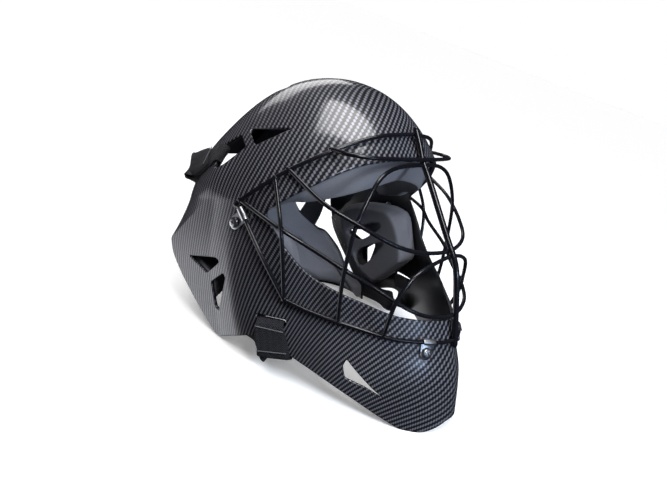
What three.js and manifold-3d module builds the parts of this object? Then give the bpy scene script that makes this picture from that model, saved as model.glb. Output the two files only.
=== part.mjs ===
// Hockey goalie mask: a one-piece hard shell with a welded wire cage, lined with foam
// blocks, and closed behind the head by a padded back plate on four straps.
//
// Everything is drawn in the head frame: +X to the wearer's left, +Y to the back of the
// head, +Z up, millimetres.  At the end the whole mask leans back until it stands on the
// chin and on the two rear corners of the shell, which is how it rests on a table.

import * as THREE from 'three';
import { mergeVertices } from 'three/addons/utils/BufferGeometryUtils.js';
import Module from 'manifold-3d';

const wasm = await Module();
wasm.setup();

const V = (x, y, z) => new THREE.Vector3(x, y, z);
const lerp = (a, b, t) => a + (b - a) * t;

// ------------------------------------------------------------------ driving sizes, mm
const WALL = 3.2;            // shell wall
const GAP = 0.35;            // play between pieces that touch
const WIRE_R = 1.8;          // cage wires
const BAR_R = 2.8;           // middle bar of the cage
const CLIP_T = 1.0;          // sheet thickness of the cage clips
const CLIP_W = 12;           // width of the cage clips
const TEMPLE_REACH = 13.2;   // wire to screw at the temples
const CHIN_REACH = 9.6;      // and at the chin
const STANDOFF = WIRE_R + CLIP_T + 2 * GAP;   // wire centre above the shell skin
const SCREW_R = 2.3;         // screw shank
const HOLE_R = 2.8;          // screw holes
const HEAD_R = 4.7;          // screw heads
const STRAP_T = 2.0;         // webbing thickness
const STRAP_W = 22;          // upper straps
const SLOT_W = 27;           // lower strap slots
const PAD_FRONT = 24;        // brow pad, thickness at the forehead
const PAD_SIDE = 18;         // brow pad, thickness at the temples
const EAR_FACE = 80;         // ear pads: inner faces this far from the middle plane
const EAR_BEVEL = 14;        // ear pads: depth of the bevel round the inner face
const PLATE_T = 2.6;         // back plate
const PLATE_RIM = 2.5;       // the plate shows this much round the foam
const BACK_FOAM = 11;        // foam on the back plate
const LEAN = Math.atan2(77.5, 171);   // how far the mask leans back when it stands

const DOME_FROM = 50;        // the crown starts here
const DOME_TOP = 162.5;
const DOME_MID = 25;         // the highest point lies this far back
const REAR = 165;            // where the side walls would meet behind the head

// height, half width, front, widest line, fullness of the front, fullness of the rear
const LEVELS = [
  [-170,  96, -121, 30, 1.75, 2.4],
  [-110, 109, -125, 31, 1.70, 2.4],
  [ -80, 116, -121, 32, 1.60, 2.4],
  [ -45, 122, -117, 33, 1.52, 2.4],
  [   0, 125, -106, 34, 1.72, 2.4],
  [  50, 121,  -88, 34, 2.30, 2.1],
];

// the ear ridge: it falls from the temple to the rear corner of the shell
const RIDGE_REAR = { y: 113, z: 11 };
const RIDGE_SLOPE = 0.75;
const HOLLOW = 45;           // height of the hollow band above the ridge

// ------------------------------------------------------------------ the shell's skin
function level(z, col) {
  const L = LEVELS, n = L.length;
  if (z <= L[0][0]) return L[0][col];
  if (z >= L[n - 1][0]) return L[n - 1][col];
  let i = 0;
  while (L[i + 1][0] < z) i++;
  const slope = k => {
    const a = L[Math.max(k - 1, 0)], b = L[Math.min(k + 1, n - 1)];
    return (b[col] - a[col]) / (b[0] - a[0]);
  };
  const h = L[i + 1][0] - L[i][0], t = (z - L[i][0]) / h, t2 = t * t, t3 = t2 * t;
  return (2 * t3 - 3 * t2 + 1) * L[i][col] + (t3 - 2 * t2 + t) * h * slope(i)
    + (3 * t2 - 2 * t3) * L[i + 1][col] + (t3 - t2) * h * slope(i + 1);
}

function section(z) {
  const q = Math.min(z, DOME_FROM);
  const c = { half: level(q, 1), front: level(q, 2), mid: level(q, 3),
    nf: level(q, 4), nr: level(q, 5), rear: REAR, full: level(q, 1) };
  if (z > DOME_FROM) {
    const s = Math.min((z - DOME_FROM) / (DOME_TOP - DOME_FROM), 1);
    const fall = e => Math.pow(Math.max(1 - Math.pow(s, e), 0), 1 / e);
    const mid = lerp(c.mid, DOME_MID, s * s);
    c.front = mid - (c.mid - c.front) * fall(2.05);
    c.rear = mid + (c.rear - c.mid) * fall(1.6);
    c.half *= Math.pow(1 - Math.pow(s, 1.5), 1 / (1.5 + 0.4 * THREE.MathUtils.smoothstep(s, 0.5, 1)));
    c.mid = mid;
    c.nf = lerp(c.nf, 2, s);
    c.nr = lerp(c.nr, 2, s);
  }
  return c;
}

// behind the ears the wall stays wide below the ridge and hollows in above it
function flare(x, y, z, full) {
  const begin = THREE.MathUtils.smoothstep(y, 36, 62);
  if (begin === 0) return x;
  const over = z - (RIDGE_REAR.z + (RIDGE_REAR.y - y) * RIDGE_SLOPE);
  const g = over <= 0 ? 1 : Math.pow(Math.max(1 - over / HOLLOW, 0), 2);
  const wide = full * 0.995;
  return Math.abs(x) >= wide ? x : x + Math.sign(x) * (wide - Math.abs(x)) * g * begin
    * Math.min(Math.abs(x) / (0.6 * full), 1);
}

function skinAt(a, z) {
  const c = section(z), s = Math.sin(a), k = Math.cos(a);
  const n = k >= 0 ? c.nf : c.nr;
  const b = k >= 0 ? c.mid - c.front : c.rear - c.mid;
  const x = c.half * Math.sign(s) * Math.pow(Math.abs(s), 2 / n);
  const y = c.mid - Math.sign(k) * b * Math.pow(Math.abs(k), 2 / n);
  return V(flare(x, y, z, c.full), y, z);
}

function skin(a, z, out = 0) {
  const p = skinAt(a, z);
  if (!out) return p;
  const da = 0.004, dz = 0.4;
  const e1 = skinAt(a + da, z).sub(skinAt(a - da, z));
  const e2 = skinAt(a, Math.min(z + dz, DOME_TOP - 1e-4)).sub(skinAt(a, z - dz));
  const n = e1.cross(e2).normalize();
  if (n.dot(V(p.x, p.y - 30, p.z - 20)) < 0) n.negate();
  return p.addScaledVector(n, out);
}

// the point of the skin that a side view shows at (y, z), on the wearer's right side
function side(y, z, out = 0) {
  let lo = -Math.PI, hi = 0;
  for (let i = 0; i < 40; i++) {
    const m = (lo + hi) / 2;
    if (skinAt(m, z).y > y) lo = m; else hi = m;
  }
  return skin((lo + hi) / 2, z, out);
}

// the same from the front, at (x, z)
function face(x, z, out = 0) {
  let lo = -Math.PI / 2, hi = 0;
  for (let i = 0; i < 40; i++) {
    const m = (lo + hi) / 2;
    if (skinAt(m, z).x < x) lo = m; else hi = m;
  }
  return skin((lo + hi) / 2, z, out);
}

function outward(y, z) {
  return side(y, z, 1).sub(side(y, z, 0)).normalize();
}

// ------------------------------------------------------------------ solid tools
function solid(geometry) {
  const g = new THREE.BufferGeometry();
  g.setAttribute('position', geometry.getAttribute('position').clone());
  if (geometry.index) g.setIndex(geometry.index.clone());
  const m = mergeVertices(g, 1e-4);
  return new wasm.Manifold(new wasm.Mesh({ numProp: 3,
    vertProperties: new Float32Array(m.getAttribute('position').array),
    triVerts: new Uint32Array(m.index.array) }));
}

function meshOf(manifold) {
  const m = manifold.getMesh();
  const g = new THREE.BufferGeometry();
  g.setAttribute('position', new THREE.BufferAttribute(new Float32Array(m.vertProperties), 3));
  g.setIndex(new THREE.BufferAttribute(new Uint32Array(m.triVerts), 1));
  return g;
}

const union = list => list.reduce((a, b) => a.add(b));

// rings of equal length, joined side by side and closed at both ends
function loft(rings) {
  const n = rings[0].length, pos = [], idx = [];
  rings.forEach(r => r.forEach(p => pos.push(p.x, p.y, p.z)));
  for (let i = 0; i + 1 < rings.length; i++) {
    for (let j = 0; j < n; j++) {
      const a = i * n + j, b = i * n + (j + 1) % n;
      idx.push(a, b, b + n, a, b + n, a + n);
    }
  }
  [0, rings.length - 1].forEach(i => {
    const c = rings[i].reduce((s, p) => s.add(p), V(0, 0, 0)).divideScalar(n);
    pos.push(c.x, c.y, c.z);
    for (let j = 0; j < n; j++) {
      const a = i * n + j, b = i * n + (j + 1) % n, m = pos.length / 3 - 1;
      if (i === 0) idx.push(m, b, a); else idx.push(m, a, b);
    }
  });
  const g = new THREE.BufferGeometry();
  g.setAttribute('position', new THREE.Float32BufferAttribute(pos, 3));
  g.setIndex(idx);
  const s = solid(g);
  if (s.volume() >= 0) return s;
  for (let i = 0; i < idx.length; i += 3) [idx[i], idx[i + 1]] = [idx[i + 1], idx[i]];
  g.setIndex(idx);
  return solid(g);
}

// a side-view outline, run across the mask from x0 to x1
function across(shape, x0, x1, curveSegments = 8) {
  const g = new THREE.ExtrudeGeometry(shape, { depth: x1 - x0, bevelEnabled: false, curveSegments });
  g.applyMatrix4(new THREE.Matrix4().makeBasis(V(0, 1, 0), V(0, 0, 1), V(1, 0, 0)));
  g.translate(x0, 0, 0);
  return solid(g);
}

const polygon = pts => new THREE.Shape(pts.map(p => new THREE.Vector2(p[0], p[1])));
const spline = (shape, pts) => shape.splineThru(pts.map(p => new THREE.Vector2(p[0], p[1])));

function tube(points, r, steps, sides = 6) {
  const path = points.length > 2 ? new THREE.CatmullRomCurve3(points, false, 'centripetal')
    : new THREE.LineCurve3(points[0], points[1]);
  const ring = new THREE.Shape();
  for (let i = 0; i < sides; i++) {
    const a = (i + 0.5) / sides * Math.PI * 2;
    if (i) ring.lineTo(r * Math.cos(a), r * Math.sin(a));
    else ring.moveTo(r * Math.cos(a), r * Math.sin(a));
  }
  return solid(new THREE.ExtrudeGeometry(ring, { steps, bevelEnabled: false, extrudePath: path }));
}

const ball = (p, r, detail = 1) => solid(new THREE.IcosahedronGeometry(r, detail).translate(p.x, p.y, p.z));

// an upright cylinder between two points
function pin(from, to, r, sides = 20) {
  const len = from.distanceTo(to);
  const g = new THREE.CylinderGeometry(r, r, len, sides);
  g.applyQuaternion(new THREE.Quaternion().setFromUnitVectors(V(0, 1, 0),
    to.clone().sub(from).normalize()));
  g.translate((from.x + to.x) / 2, (from.y + to.y) / 2, (from.z + to.z) / 2);
  return solid(g);
}

const flipped = p => V(-p.x, p.y, p.z);
const mirrored = s => s.mirror([1, 0, 0]);

// the right half of a solid and its mirror image, as one
function evenSided(s) {
  const half = s.trimByPlane([-1, 0, 0], 0);
  return half.add(mirrored(half));
}

// ------------------------------------------------------------------ shell
function egg(out) {
  const rings = [], around = 48;
  const heights = [];
  for (let i = 0; i <= 12; i++) heights.push(lerp(-172, DOME_FROM, i / 12));
  for (let i = 1; i <= 9; i++) {
    heights.push(DOME_FROM + (DOME_TOP - DOME_FROM) * Math.sin(i / 9.25 * Math.PI / 2));
  }
  for (const z of heights) {
    const r = [];
    for (let j = 0; j < around; j++) r.push(skin(j / around * Math.PI * 2 - Math.PI, z, out));
    rings.push(r);
  }
  return loft(rings);
}

// what a side view of the shell shows: the lower edge from the chin back, the rear edge
// up over the ear, and the face opening cut into the front
function sideOutline() {
  const s = new THREE.Shape();
  s.moveTo(-150, -140);
  s.lineTo(-125, -144);
  spline(s, [[-120, -151], [-111, -154], [-97, -148]]);
  spline(s, [[-67, -119], [-41, -98], [-21, -84]]);
  s.lineTo(-2, -71);
  spline(s, [[10, -68], [30, -71], [54, -76.5]]);
  spline(s, [[61, -75], [66, -70]]);
  s.lineTo(98, -24);
  spline(s, [[110, -2], [112.6, 11]]);
  spline(s, [[107, 32], [102, 48], [99, 64], [99, 80], [104, 89], [118, 92]]);
  s.lineTo(200, 93);
  s.lineTo(200, 200);
  s.lineTo(-150, 200);
  s.lineTo(-150, 83.5);
  s.lineTo(-81, 83.5);
  spline(s, [[-68, 80], [-41, 63], [-23.5, 52], [-9, 43]]);
  spline(s, [[-8, 40], [-9.5, 36]]);
  spline(s, [[-20, 18], [-34, -4], [-52, -21], [-73, -34.5], [-92, -46.5], [-118, -56]]);
  s.lineTo(-150, -60);
  return s;
}

// vents and slots, as a side view shows them
const VENTS = [
  [[49, 107], [33, 95.5], [50, 81], [60, 77], [77, 94.5]],                       // crown, rear
  [[39.5, 112.5], [39, 109.5], [22, 97], [8, 103.5], [-7, 110.8]],              // crown, front
  [[84, -3], [47, -1], [43, -4], [50, -9], [61, -16]],                           // ear, upper
  [[38, -14], [36, -17.5], [50, -50], [54, -47], [55.6, -24]],                   // ear, lower
  [[-63, -83], [-60.5, -89], [-62, -99], [-76, -107], [-88, -117.5], [-82, -110], [-66, -88]], // chin
];
const SLOT_MID = { y: -5.5, z: -51.5 };        // lower strap slot
const TOP_VENT = [[-40, 63], [-42, 36], [-22, 42], [-25, 68]];   // seen from above

const TEMPLE_SCREW = { y: 22, z: 32 };
const CHIN_SCREW = { x: -28.5, z: -80.5 };

// the direction along the lower strap slot, rising a little to the rear
function slotAlong() {
  const n = outward(SLOT_MID.y, SLOT_MID.z), level_ = V(-n.y, n.x, 0).normalize();
  if (level_.y < 0) level_.negate();
  return level_.add(V(0, 0, 0.14)).normalize();
}

function slotCut() {
  const s = side(SLOT_MID.y, SLOT_MID.z), n = outward(SLOT_MID.y, SLOT_MID.z), along = slotAlong();
  const cut = solid(new THREE.BoxGeometry(40, SLOT_W, 6));
  const m = new THREE.Matrix4().makeBasis(n, along, n.clone().cross(along).normalize());
  return cut.transform(m.elements.slice()).translate([s.x, s.y, s.z]);
}

// each clip's own frame: n off the shell, y from the screw to the wire, w along the wire,
// and the wire's centre at the clip
function clipFrame(at, n, along, reach) {
  const y = n.clone().cross(along).normalize();
  const w = y.clone().cross(n).normalize();
  const wire = at.clone().addScaledVector(y, reach).addScaledVector(n, GAP + CLIP_T + GAP + WIRE_R);
  return { at, n, y, w, wire };
}

function screwFrames() {
  const t = side(TEMPLE_SCREW.y, TEMPLE_SCREW.z);
  const tn = outward(TEMPLE_SCREW.y, TEMPLE_SCREW.z);
  const down = side(6, 31).sub(side(15, 44));
  const c = face(CHIN_SCREW.x, CHIN_SCREW.z);
  const cn = face(CHIN_SCREW.x, CHIN_SCREW.z, 1).sub(c).normalize();
  const inward = face(-18, -72.5).sub(face(-38, -69));
  const temple = clipFrame(t, tn, down, TEMPLE_REACH), chin = clipFrame(c, cn, inward, CHIN_REACH);
  if (temple.y.y > 0) Object.assign(temple, clipFrame(t, tn, down.negate(), TEMPLE_REACH));
  if (chin.y.z < 0) Object.assign(chin, clipFrame(c, cn, inward.negate(), CHIN_REACH));
  return { temple, chin };
}
const SCREWS = screwFrames();

function makeShell() {
  let s = egg(0).subtract(egg(-WALL)).intersect(across(sideOutline(), -170, 170, 6));
  for (const v of VENTS) {
    const cut = across(polygon(v), -170, -40);
    s = s.subtract(cut).subtract(mirrored(cut));
  }
  const top = new THREE.ExtrudeGeometry(polygon(TOP_VENT), { depth: 60, bevelEnabled: false });
  const topCut = solid(top.translate(0, 0, 120));
  s = s.subtract(topCut).subtract(mirrored(topCut));
  const slot = slotCut();
  s = s.subtract(slot).subtract(mirrored(slot));
  for (const f of Object.values(SCREWS)) {
    const hole = pin(f.at.clone().addScaledVector(f.n, -12), f.at.clone().addScaledVector(f.n, 8), HOLE_R, 16);
    s = s.subtract(hole).subtract(mirrored(hole));
  }
  return evenSided(s);
}

// ------------------------------------------------------------------ cage
// One frame wire follows the opening just off the shell; the face wires are welded to it
// and to each other, and a thicker bar runs down the middle in front of them.
const FRAME_TOP = [[0.0, 105], [-41, 102], [-66, 95], [-88, 84.5]];      // x, z over the forehead
const FRAME_TEMPLE = [[-21, 73.5], [-1, 60], [14, 51], [21.5, 46]];      // y, z down to the temple
const FRAME_LOW = [[-19, -30.5], [-34, -39], [-53, -48], [-71, -56], [-91, -65.5]];   // y, z
const FRAME_CHIN = [[-14, -73.2], [0, -74]];                             // x, z

function makeCage() {
  const off = STANDOFF;
  const top = FRAME_TOP.map(p => face(p[0], p[1], off)).concat(FRAME_TEMPLE.map(p => side(p[0], p[1], off)));
  const low = FRAME_LOW.map(p => side(p[0], p[1], off)), mid = FRAME_CHIN.map(p => face(p[0], p[1], off));
  top[0].x = 0.8;
  mid[mid.length - 1].x = 0.8;
  // where a clip holds it, the wire runs straight
  const straight = (f, from, to) => {
    const ends = [-1, 1].map(k => f.wire.clone().addScaledVector(f.w, k * (CLIP_W / 2 + 2.2)));
    if (ends[0].distanceTo(from) > ends[1].distanceTo(from)) ends.reverse();
    half.push(tube(ends, WIRE_R, 1), ball(ends[0], WIRE_R, 0), ball(ends[1], WIRE_R, 0));
    return ends;
  };
  const half = [], temple = top[top.length - 1], heel = low[0];
  const t = straight(SCREWS.temple, temple), c = straight(SCREWS.chin, low[low.length - 1]);
  half.push(tube(top, WIRE_R, 16), tube([temple, t[0]], WIRE_R, 1), tube([t[1], side(-5, 7, off + 0.4), heel], WIRE_R, 6));
  half.push(tube(low.concat([c[0]]), WIRE_R, 12), tube([c[1], ...mid], WIRE_R, 4));
  half.push(ball(temple, WIRE_R, 0), ball(heel, WIRE_R, 0));

  // upright at the temple, from the frame to its lower corner
  half.push(tube([side(-14, 68.5, off), V(-116.5, -25, 27), heel], WIRE_R, 4));

  const whole = [];
  const cross = (pts, r, steps) => {
    const other = pts.slice(0, -1).map(flipped).reverse();
    whole.push(tube(pts.concat(other), r, steps));
  };
  // visor wire in front of the brow
  cross([side(-46, 91, off), V(-80, -66, 88.5), V(-67, -79, 85.8), V(-44, -87, 84.8), V(0, -90.4, 84.3)],
    WIRE_R, 18);
  // tall arch round the eyes
  cross([side(-56, -49.5, off), V(-88, -63, -28), V(-88.5, -67.4, -6), V(-84, -75.5, 31), V(-76.5, -79.3, 48),
    V(-61, -82.3, 68), V(-43, -84, 76.5), V(0, -88.2, 79.6)], WIRE_R, 26);
  // upper and lower smile
  cross([side(-23, 75, off), V(-101, -58, 50), V(-85, -78.4, 34), V(-70, -92.5, 21.5), V(-57, -101.4, 14),
    V(-38, -108.6, 8.3), V(0, -114.4, 5)], WIRE_R, 22);
  cross([side(14.5, 51, off), V(-116.8, -22, 30.4), V(-104.5, -37.5, 17.5), V(-86, -67.5, -4.5), V(-71, -83, -18),
    V(-59, -98.4, -31), V(-50, -107, -38.6), V(-36, -115, -45.5), V(0, -121.6, -51)], WIRE_R, 24);
  // small arch over the mouth
  cross([side(-85, -62.5, off), V(-64.5, -97, -42), V(-61.5, -101, -29.5), V(-53.5, -106.8, -16),
    V(-41, -111.4, -7.5), V(0, -117.2, 0.8)], WIRE_R, 20);
  // middle bar
  const bar = tube([V(0, -79.4, 111), V(0, -84, 96), V(0, -87, 84), V(0, -94.5, 66), V(0, -113.2, 17.3),
    V(0, -120.8, -1.8), V(0, -123.2, -14), V(0, -124, -60), V(0, -124, -78)], BAR_R, 14, 10);

  const right = union(half);
  return union([right, mirrored(right), ...whole, bar]);
}

// ------------------------------------------------------------------ clips and screws
// A clip is a strip bent round the frame wire, with a flat tongue under a screw head.
function makeClip(frame) {
  const { at, n, y, wire } = frame, reach = wire.clone().sub(at).dot(y);
  const ri = WIRE_R + GAP, ro = ri + CLIP_T, base = GAP, h = base + ro;
  const s = new THREE.Shape(), arc = 7, turn = 1.22 * Math.PI;
  s.moveTo(0, base);
  s.lineTo(reach, base);
  for (let i = 1; i <= arc; i++) {
    const a = -Math.PI / 2 + i / arc * turn;
    s.lineTo(reach + ro * Math.cos(a), h + ro * Math.sin(a));
  }
  for (let i = arc; i >= 1; i--) {
    const a = -Math.PI / 2 + i / arc * turn;
    s.lineTo(reach + ri * Math.cos(a), h + ri * Math.sin(a));
  }
  s.lineTo(reach, base + CLIP_T);
  s.lineTo(0, base + CLIP_T);
  const g = new THREE.ExtrudeGeometry(s, { depth: CLIP_W, bevelEnabled: false });
  g.translate(0, 0, -CLIP_W / 2);
  g.applyMatrix4(new THREE.Matrix4().makeBasis(y, n, y.clone().cross(n)));
  g.translate(at.x, at.y, at.z);
  const off = k => at.clone().addScaledVector(n, k);
  return solid(g).add(pin(off(base), off(base + CLIP_T), CLIP_W / 2, 20))
    .subtract(pin(off(-2), off(5), HOLE_R, 12));
}

// a pan-head screw through the tongue and the shell, with its nut on the inside
function makeScrew(frame) {
  const at = h => frame.at.clone().addScaledVector(frame.n, h);
  const seat = GAP + CLIP_T + GAP;
  const r = [[0, seat], [HEAD_R, seat], [HEAD_R, seat + 0.9], [HEAD_R * 0.75, seat + 2.1], [0, seat + 2.7]];
  const g = new THREE.LatheGeometry(r.map(p => new THREE.Vector2(p[0], p[1])), 16);
  g.applyQuaternion(new THREE.Quaternion().setFromUnitVectors(V(0, 1, 0), frame.n));
  g.translate(frame.at.x, frame.at.y, frame.at.z);
  const head = solid(g);
  const slot = solid(new THREE.BoxGeometry(1.1, 7, 1.4));
  const m = new THREE.Matrix4().makeRotationFromQuaternion(
    new THREE.Quaternion().setFromUnitVectors(V(0, 0, 1), frame.n));
  const top = at(seat + 2.7);
  const cut = slot.transform(m.elements.slice()).translate([top.x, top.y, top.z]);
  return head.subtract(cut).add(pin(at(seat + 0.5), at(-WALL - 3.4), SCREW_R, 10))
    .add(pin(at(-WALL - 2 * GAP), at(-WALL - 3.2), 4.2, 6));
}

// ------------------------------------------------------------------ foam
const LINING = egg(-WALL - GAP);       // foam keeps inside this

// The brow pad is a horseshoe inside the crown.  Its lower face slopes in and down from
// the edge of the shell, and its ends lie above the ears.
const BROW_END = 1.6;       // how far round the horseshoe runs each way, radians

function browEdge(y) {
  return y > -9 ? 43 : y > -68 ? lerp(43, 80, (-9 - y) / 59) : lerp(80, 83.5, Math.min((-68 - y) / 12, 1));
}

function makeBrowPad() {
  const rings = [], steps = 26;
  for (let i = 0; i <= steps; i++) {
    const a = lerp(-BROW_END, BROW_END, i / steps), t = Math.abs(a) / BROW_END;
    const rim = browEdge(skinAt(a, 70).y) + 3;
    const low = lerp(68, 45, Math.min(t * 1.15, 1));
    const high = lerp(112, 88, t);
    const deep = lerp(PAD_FRONT, PAD_SIDE, t) * Math.min(1, 0.45 + (1 - t) * 6);
    const o = -WALL / 2;
    const mid = (rim + high) / 2;
    rings.push([skin(a, rim, o), skin(a, mid, o), skin(a, high, o), skin(a, high - 4, -WALL - deep * 0.6),
      skin(a, (high + low) / 2, -WALL - deep), skin(a, Math.min(low, rim - 2) + 3, -WALL - deep),
      skin(a, Math.min(low, rim - 2), -WALL - deep + 3)]);
  }
  return evenSided(loft(rings).intersect(LINING));
}

// Each ear pad is one thick block: [y, z] of its outline at the shell, [y, z] of its flat
// inner face and, at the rear, [y, z] of the shoulder where its long rear slope ends.
const EAR_PAD = [
  [[92, 26], [66, 22], [76, 25]], [[50, 35], [42, 30]], [[20, 33], [14, 27]], [[4, 30], [2, 26]],
  [[-13, 23], [-4, 20]], [[-21, -4], [-12, 4]], [[-27, -24], [-17, -27]], [[-13, -34], [-8, -32]],
  [[23, -59.5], [16, -53]], [[30, -60], [21, -52]], [[51, -47], [38, -41]],
  [[74, -28], [54, -20], [63, -24]], [[92, -3], [64, 2], [75, 1]],
];
// its two windows run from the vents in to the face; the upper one breaks out of the slope.
// [y, z] outside, at the face and half way
const EAR_WINDOWS = [
  [[[82, 0], [60, 2], [82, 0]], [[47, 2], [24, 13], [38, 6]], [[39, -1], [11, 13], [28, 5]],
    [[40, -6], [13, 6], [29, -1]], [[62, -20], [40, -10], [55, -16]]],
  [[[34, -11], [6, -7], [23, -9]], [[32, -18], [8, -13], [22, -16]], [[48, -54], [33, -38], [42, -48]],
    [[57, -50], [43, -37], [51, -45]], [[60, -21], [46, -20], [54, -21]]],
];

function makeEarPad() {
  const ring = (rows, k, x) => rows.map(p => V(x, ...(p[k] || p[0])));
  let s = loft([ring(EAR_PAD, 0, -135), ring(EAR_PAD, 0, -124), ring(EAR_PAD, 2, -EAR_FACE - EAR_BEVEL),
    ring(EAR_PAD, 1, -EAR_FACE)]);
  s = s.intersect(LINING);
  for (const w of EAR_WINDOWS) {
    s = s.subtract(loft([ring(w, 0, -140), ring(w, 0, -104), ring(w, 2, -96), ring(w, 1, -EAR_FACE - 4),
      ring(w, 1, -60)]));
  }
  const f = SCREWS.temple;
  return s.subtract(pin(f.at.clone().addScaledVector(f.n, -WALL - 6), f.at, 6.5, 10));
}

// ------------------------------------------------------------------ back plate and its foam
// Both follow the back of the head: round in plan, curling in under the skull, with low
// wings that run forward under the ears.
const BOWL = [[46, 100, 74], [20, 100, 80], [0, 97, 79], [-20, 94, 73], [-38, 92, 60], [-50, 91, 50], [-80, 91, 50]];
const FLOOR_AT = y => -154 + (y + 111) * Math.tan(LEAN);     // what the mask stands on

function bowl(a, z) {
  let i = 0;
  while (i < BOWL.length - 2 && z < BOWL[i + 1][0]) i++;
  const p = BOWL[i], q = BOWL[i + 1], t = Math.min(Math.max((z - p[0]) / (q[0] - p[0]), 0), 1);
  return V(lerp(p[1], q[1], t) * Math.sin(a), 50 + lerp(p[2], q[2], t) * Math.cos(a), z);
}

function backAt(a, z, out) {
  const da = bowl(a + 0.01, z).sub(bowl(a - 0.01, z));
  const dz = bowl(a, z + 4).sub(bowl(a, z - 4));
  return bowl(a, z).addScaledVector(da.cross(dz).normalize(), -out);
}

// [angle, top edge] round one side
const BACK_TOP = [[0, 46], [0.5, 45], [0.64, 22], [0.92, 0], [1.02, -2], [1.25, -27], [1.3, -48], [1.5, -55],
  [1.74, -64]];

function backSlab(from, to, grow) {
  const rings = [], angles = [];
  BACK_TOP.forEach((p, i) => {
    angles.push(p[0]);
    const q = BACK_TOP[i + 1];
    if (q) for (let k = 1, n = Math.round((q[0] - p[0]) / 0.13); k < n; k++) angles.push(lerp(p[0], q[0], k / n));
  });
  const all = angles.slice(1).reverse().map(a => -a).concat(angles);
  const up = 6;
  for (const a of all) {
    const t = Math.abs(a);
    let i = 0;
    while (i < BACK_TOP.length - 2 && t > BACK_TOP[i + 1][0]) i++;
    const p = BACK_TOP[i], q = BACK_TOP[i + 1];
    const hi = lerp(p[1], q[1], (t - p[0]) / (q[0] - p[0])) + grow;
    const lo = Math.max(FLOOR_AT(bowl(a, -60).y) + 6, -49 - 40 * Math.max(t - 0.5, 0)) - grow;
    const ring = [];
    for (let j = 0; j <= up; j++) ring.push(backAt(a, lerp(lo, hi, j / up), from));
    for (let j = up; j >= 0; j--) ring.push(backAt(a, lerp(lo, hi, j / up), to));
    rings.push(ring);
  }
  return loft(rings);
}

// ------------------------------------------------------------------ straps
// webbing along a route of [point, direction across the strap, width]
function webbing(route) {
  return loft(route.map(([p, w, width], i) => {
    const before = route[Math.max(i - 1, 0)][0], after = route[Math.min(i + 1, route.length - 1)][0];
    const run = after.clone().sub(before).normalize();
    const across_ = w.clone().addScaledVector(run, -w.dot(run)).normalize();
    const n = run.clone().cross(across_).multiplyScalar(STRAP_T / 2);
    across_.multiplyScalar(width / 2);
    return [p.clone().add(across_).add(n), p.clone().sub(across_).add(n),
      p.clone().sub(across_).sub(n), p.clone().add(across_).sub(n)];
  }));
}

// a point of a strap lying along the shell, or on the back plate; the last numbers are the
// direction across the strap in the sheet it lies on
const onShell = (y, z, out, width, dy, dz) =>
  [side(y, z, out), side(y + 8 * dy, z + 8 * dz).sub(side(y - 8 * dy, z - 8 * dz)), width];
const onPlate = (a, z, out, width, da, dz) =>
  [backAt(a, z, out), backAt(a + 0.08 * da, z + 8 * dz, 0).sub(backAt(a - 0.08 * da, z - 8 * dz, 0)), width];

// from the back plate, over the rear edge of the shell and in through the crown vent
function makeUpperStrap() {
  const o = STRAP_T / 2 + GAP, w = STRAP_W;
  const rear = (z, back, out) => [side(97.5, z, out).add(V(0, back, 0)),
    side(97.5, z + 8).sub(side(97.5, z - 8)).add(V(0, -3, 0)), w];
  return webbing([
    onPlate(-0.66, 0, PLATE_T + o + 0.6, w + 3, 0.8, 0.6),
    onPlate(-0.76, 12, PLATE_T + o + 0.6, w + 3, 0.8, 0.6),
    [V(-84, 106.5, 34), V(-0.7, 0.1, 0.55), w + 2],
    [V(-92, 103.8, 54), V(-0.4, 0.2, 0.8), w + 1],
    rear(70.5, 7.6, -5),
    rear(73.5, 6.5, 0.5),
    rear(75.5, 3.9, 4.2),
    onShell(92, 75.5, o + 2.6, w, 0.4, 0.9),
    onShell(81, 80.3, o + 1.5, w, 0.5, 0.85),
    onShell(71.5, 84.6, o + 1.1, w - 3, 0.66, 0.75),
    onShell(67, 87, o + 0.4, w - 5, 0.7, 0.72),
    onShell(65.4, 87.6, -WALL / 2, w - 5, 0.7, 0.72),
    onShell(66.4, 87.2, -WALL - 0.9, w - 5, 0.7, 0.72),
    onShell(72, 84.2, -WALL - o - 1.5, w - 3, 0.6, 0.8),
    onShell(83, 79.8, -WALL - o - 1.4, w - 3, 0.5, 0.85),
  ]);
}

// from the wing of the back plate, under the lower edge of the shell and in through the slot
function makeLowerStrap() {
  const o = STRAP_T / 2 + GAP, n = outward(-6, -64), along = slotAlong(), flat = V(-n.y, n.x, 0).normalize();
  if (flat.y < 0) flat.negate();
  const s = (z, out) => side(SLOT_MID.y - (SLOT_MID.z - z) * 0.03, z, out);
  const fold = (out, dy, dz) => s(-78, 0).addScaledVector(n, out).add(V(0, dy, dz));
  return webbing([
    onPlate(-1.42, -66, PLATE_T + o + 0.6, 14, 0, -1),
    onPlate(-1.6, -68.5, PLATE_T + o + 0.6, 16, 0, -1),
    [V(-97, 27, -73), V(0.1, 0.5, -0.8), 20],
    [V(-100, 14, -79), V(0.1, 0.9, -0.35), 25],
    [fold(-WALL - 4.6, 2, -6.5), flat, 30],
    [fold(-WALL / 2 - 0.2, 0, -8.4), flat, 31],
    [fold(o + 0.9, 0, -5.5), flat, 31],
    [s(-77, o + 1.0), flat, 30],
    [s(-65, o + 0.9), along, 27],
    [s(-55, o + 1.6), along, 24.5],
    [s(-51.9, -0.4), along, 24],
    [s(-51.5, -WALL - 1), along, 24],
    [s(-55, -WALL - o - 1.4), along, 23],
    [s(-64, -WALL - o - 1.0), along, 23],
  ]);
}

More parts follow.
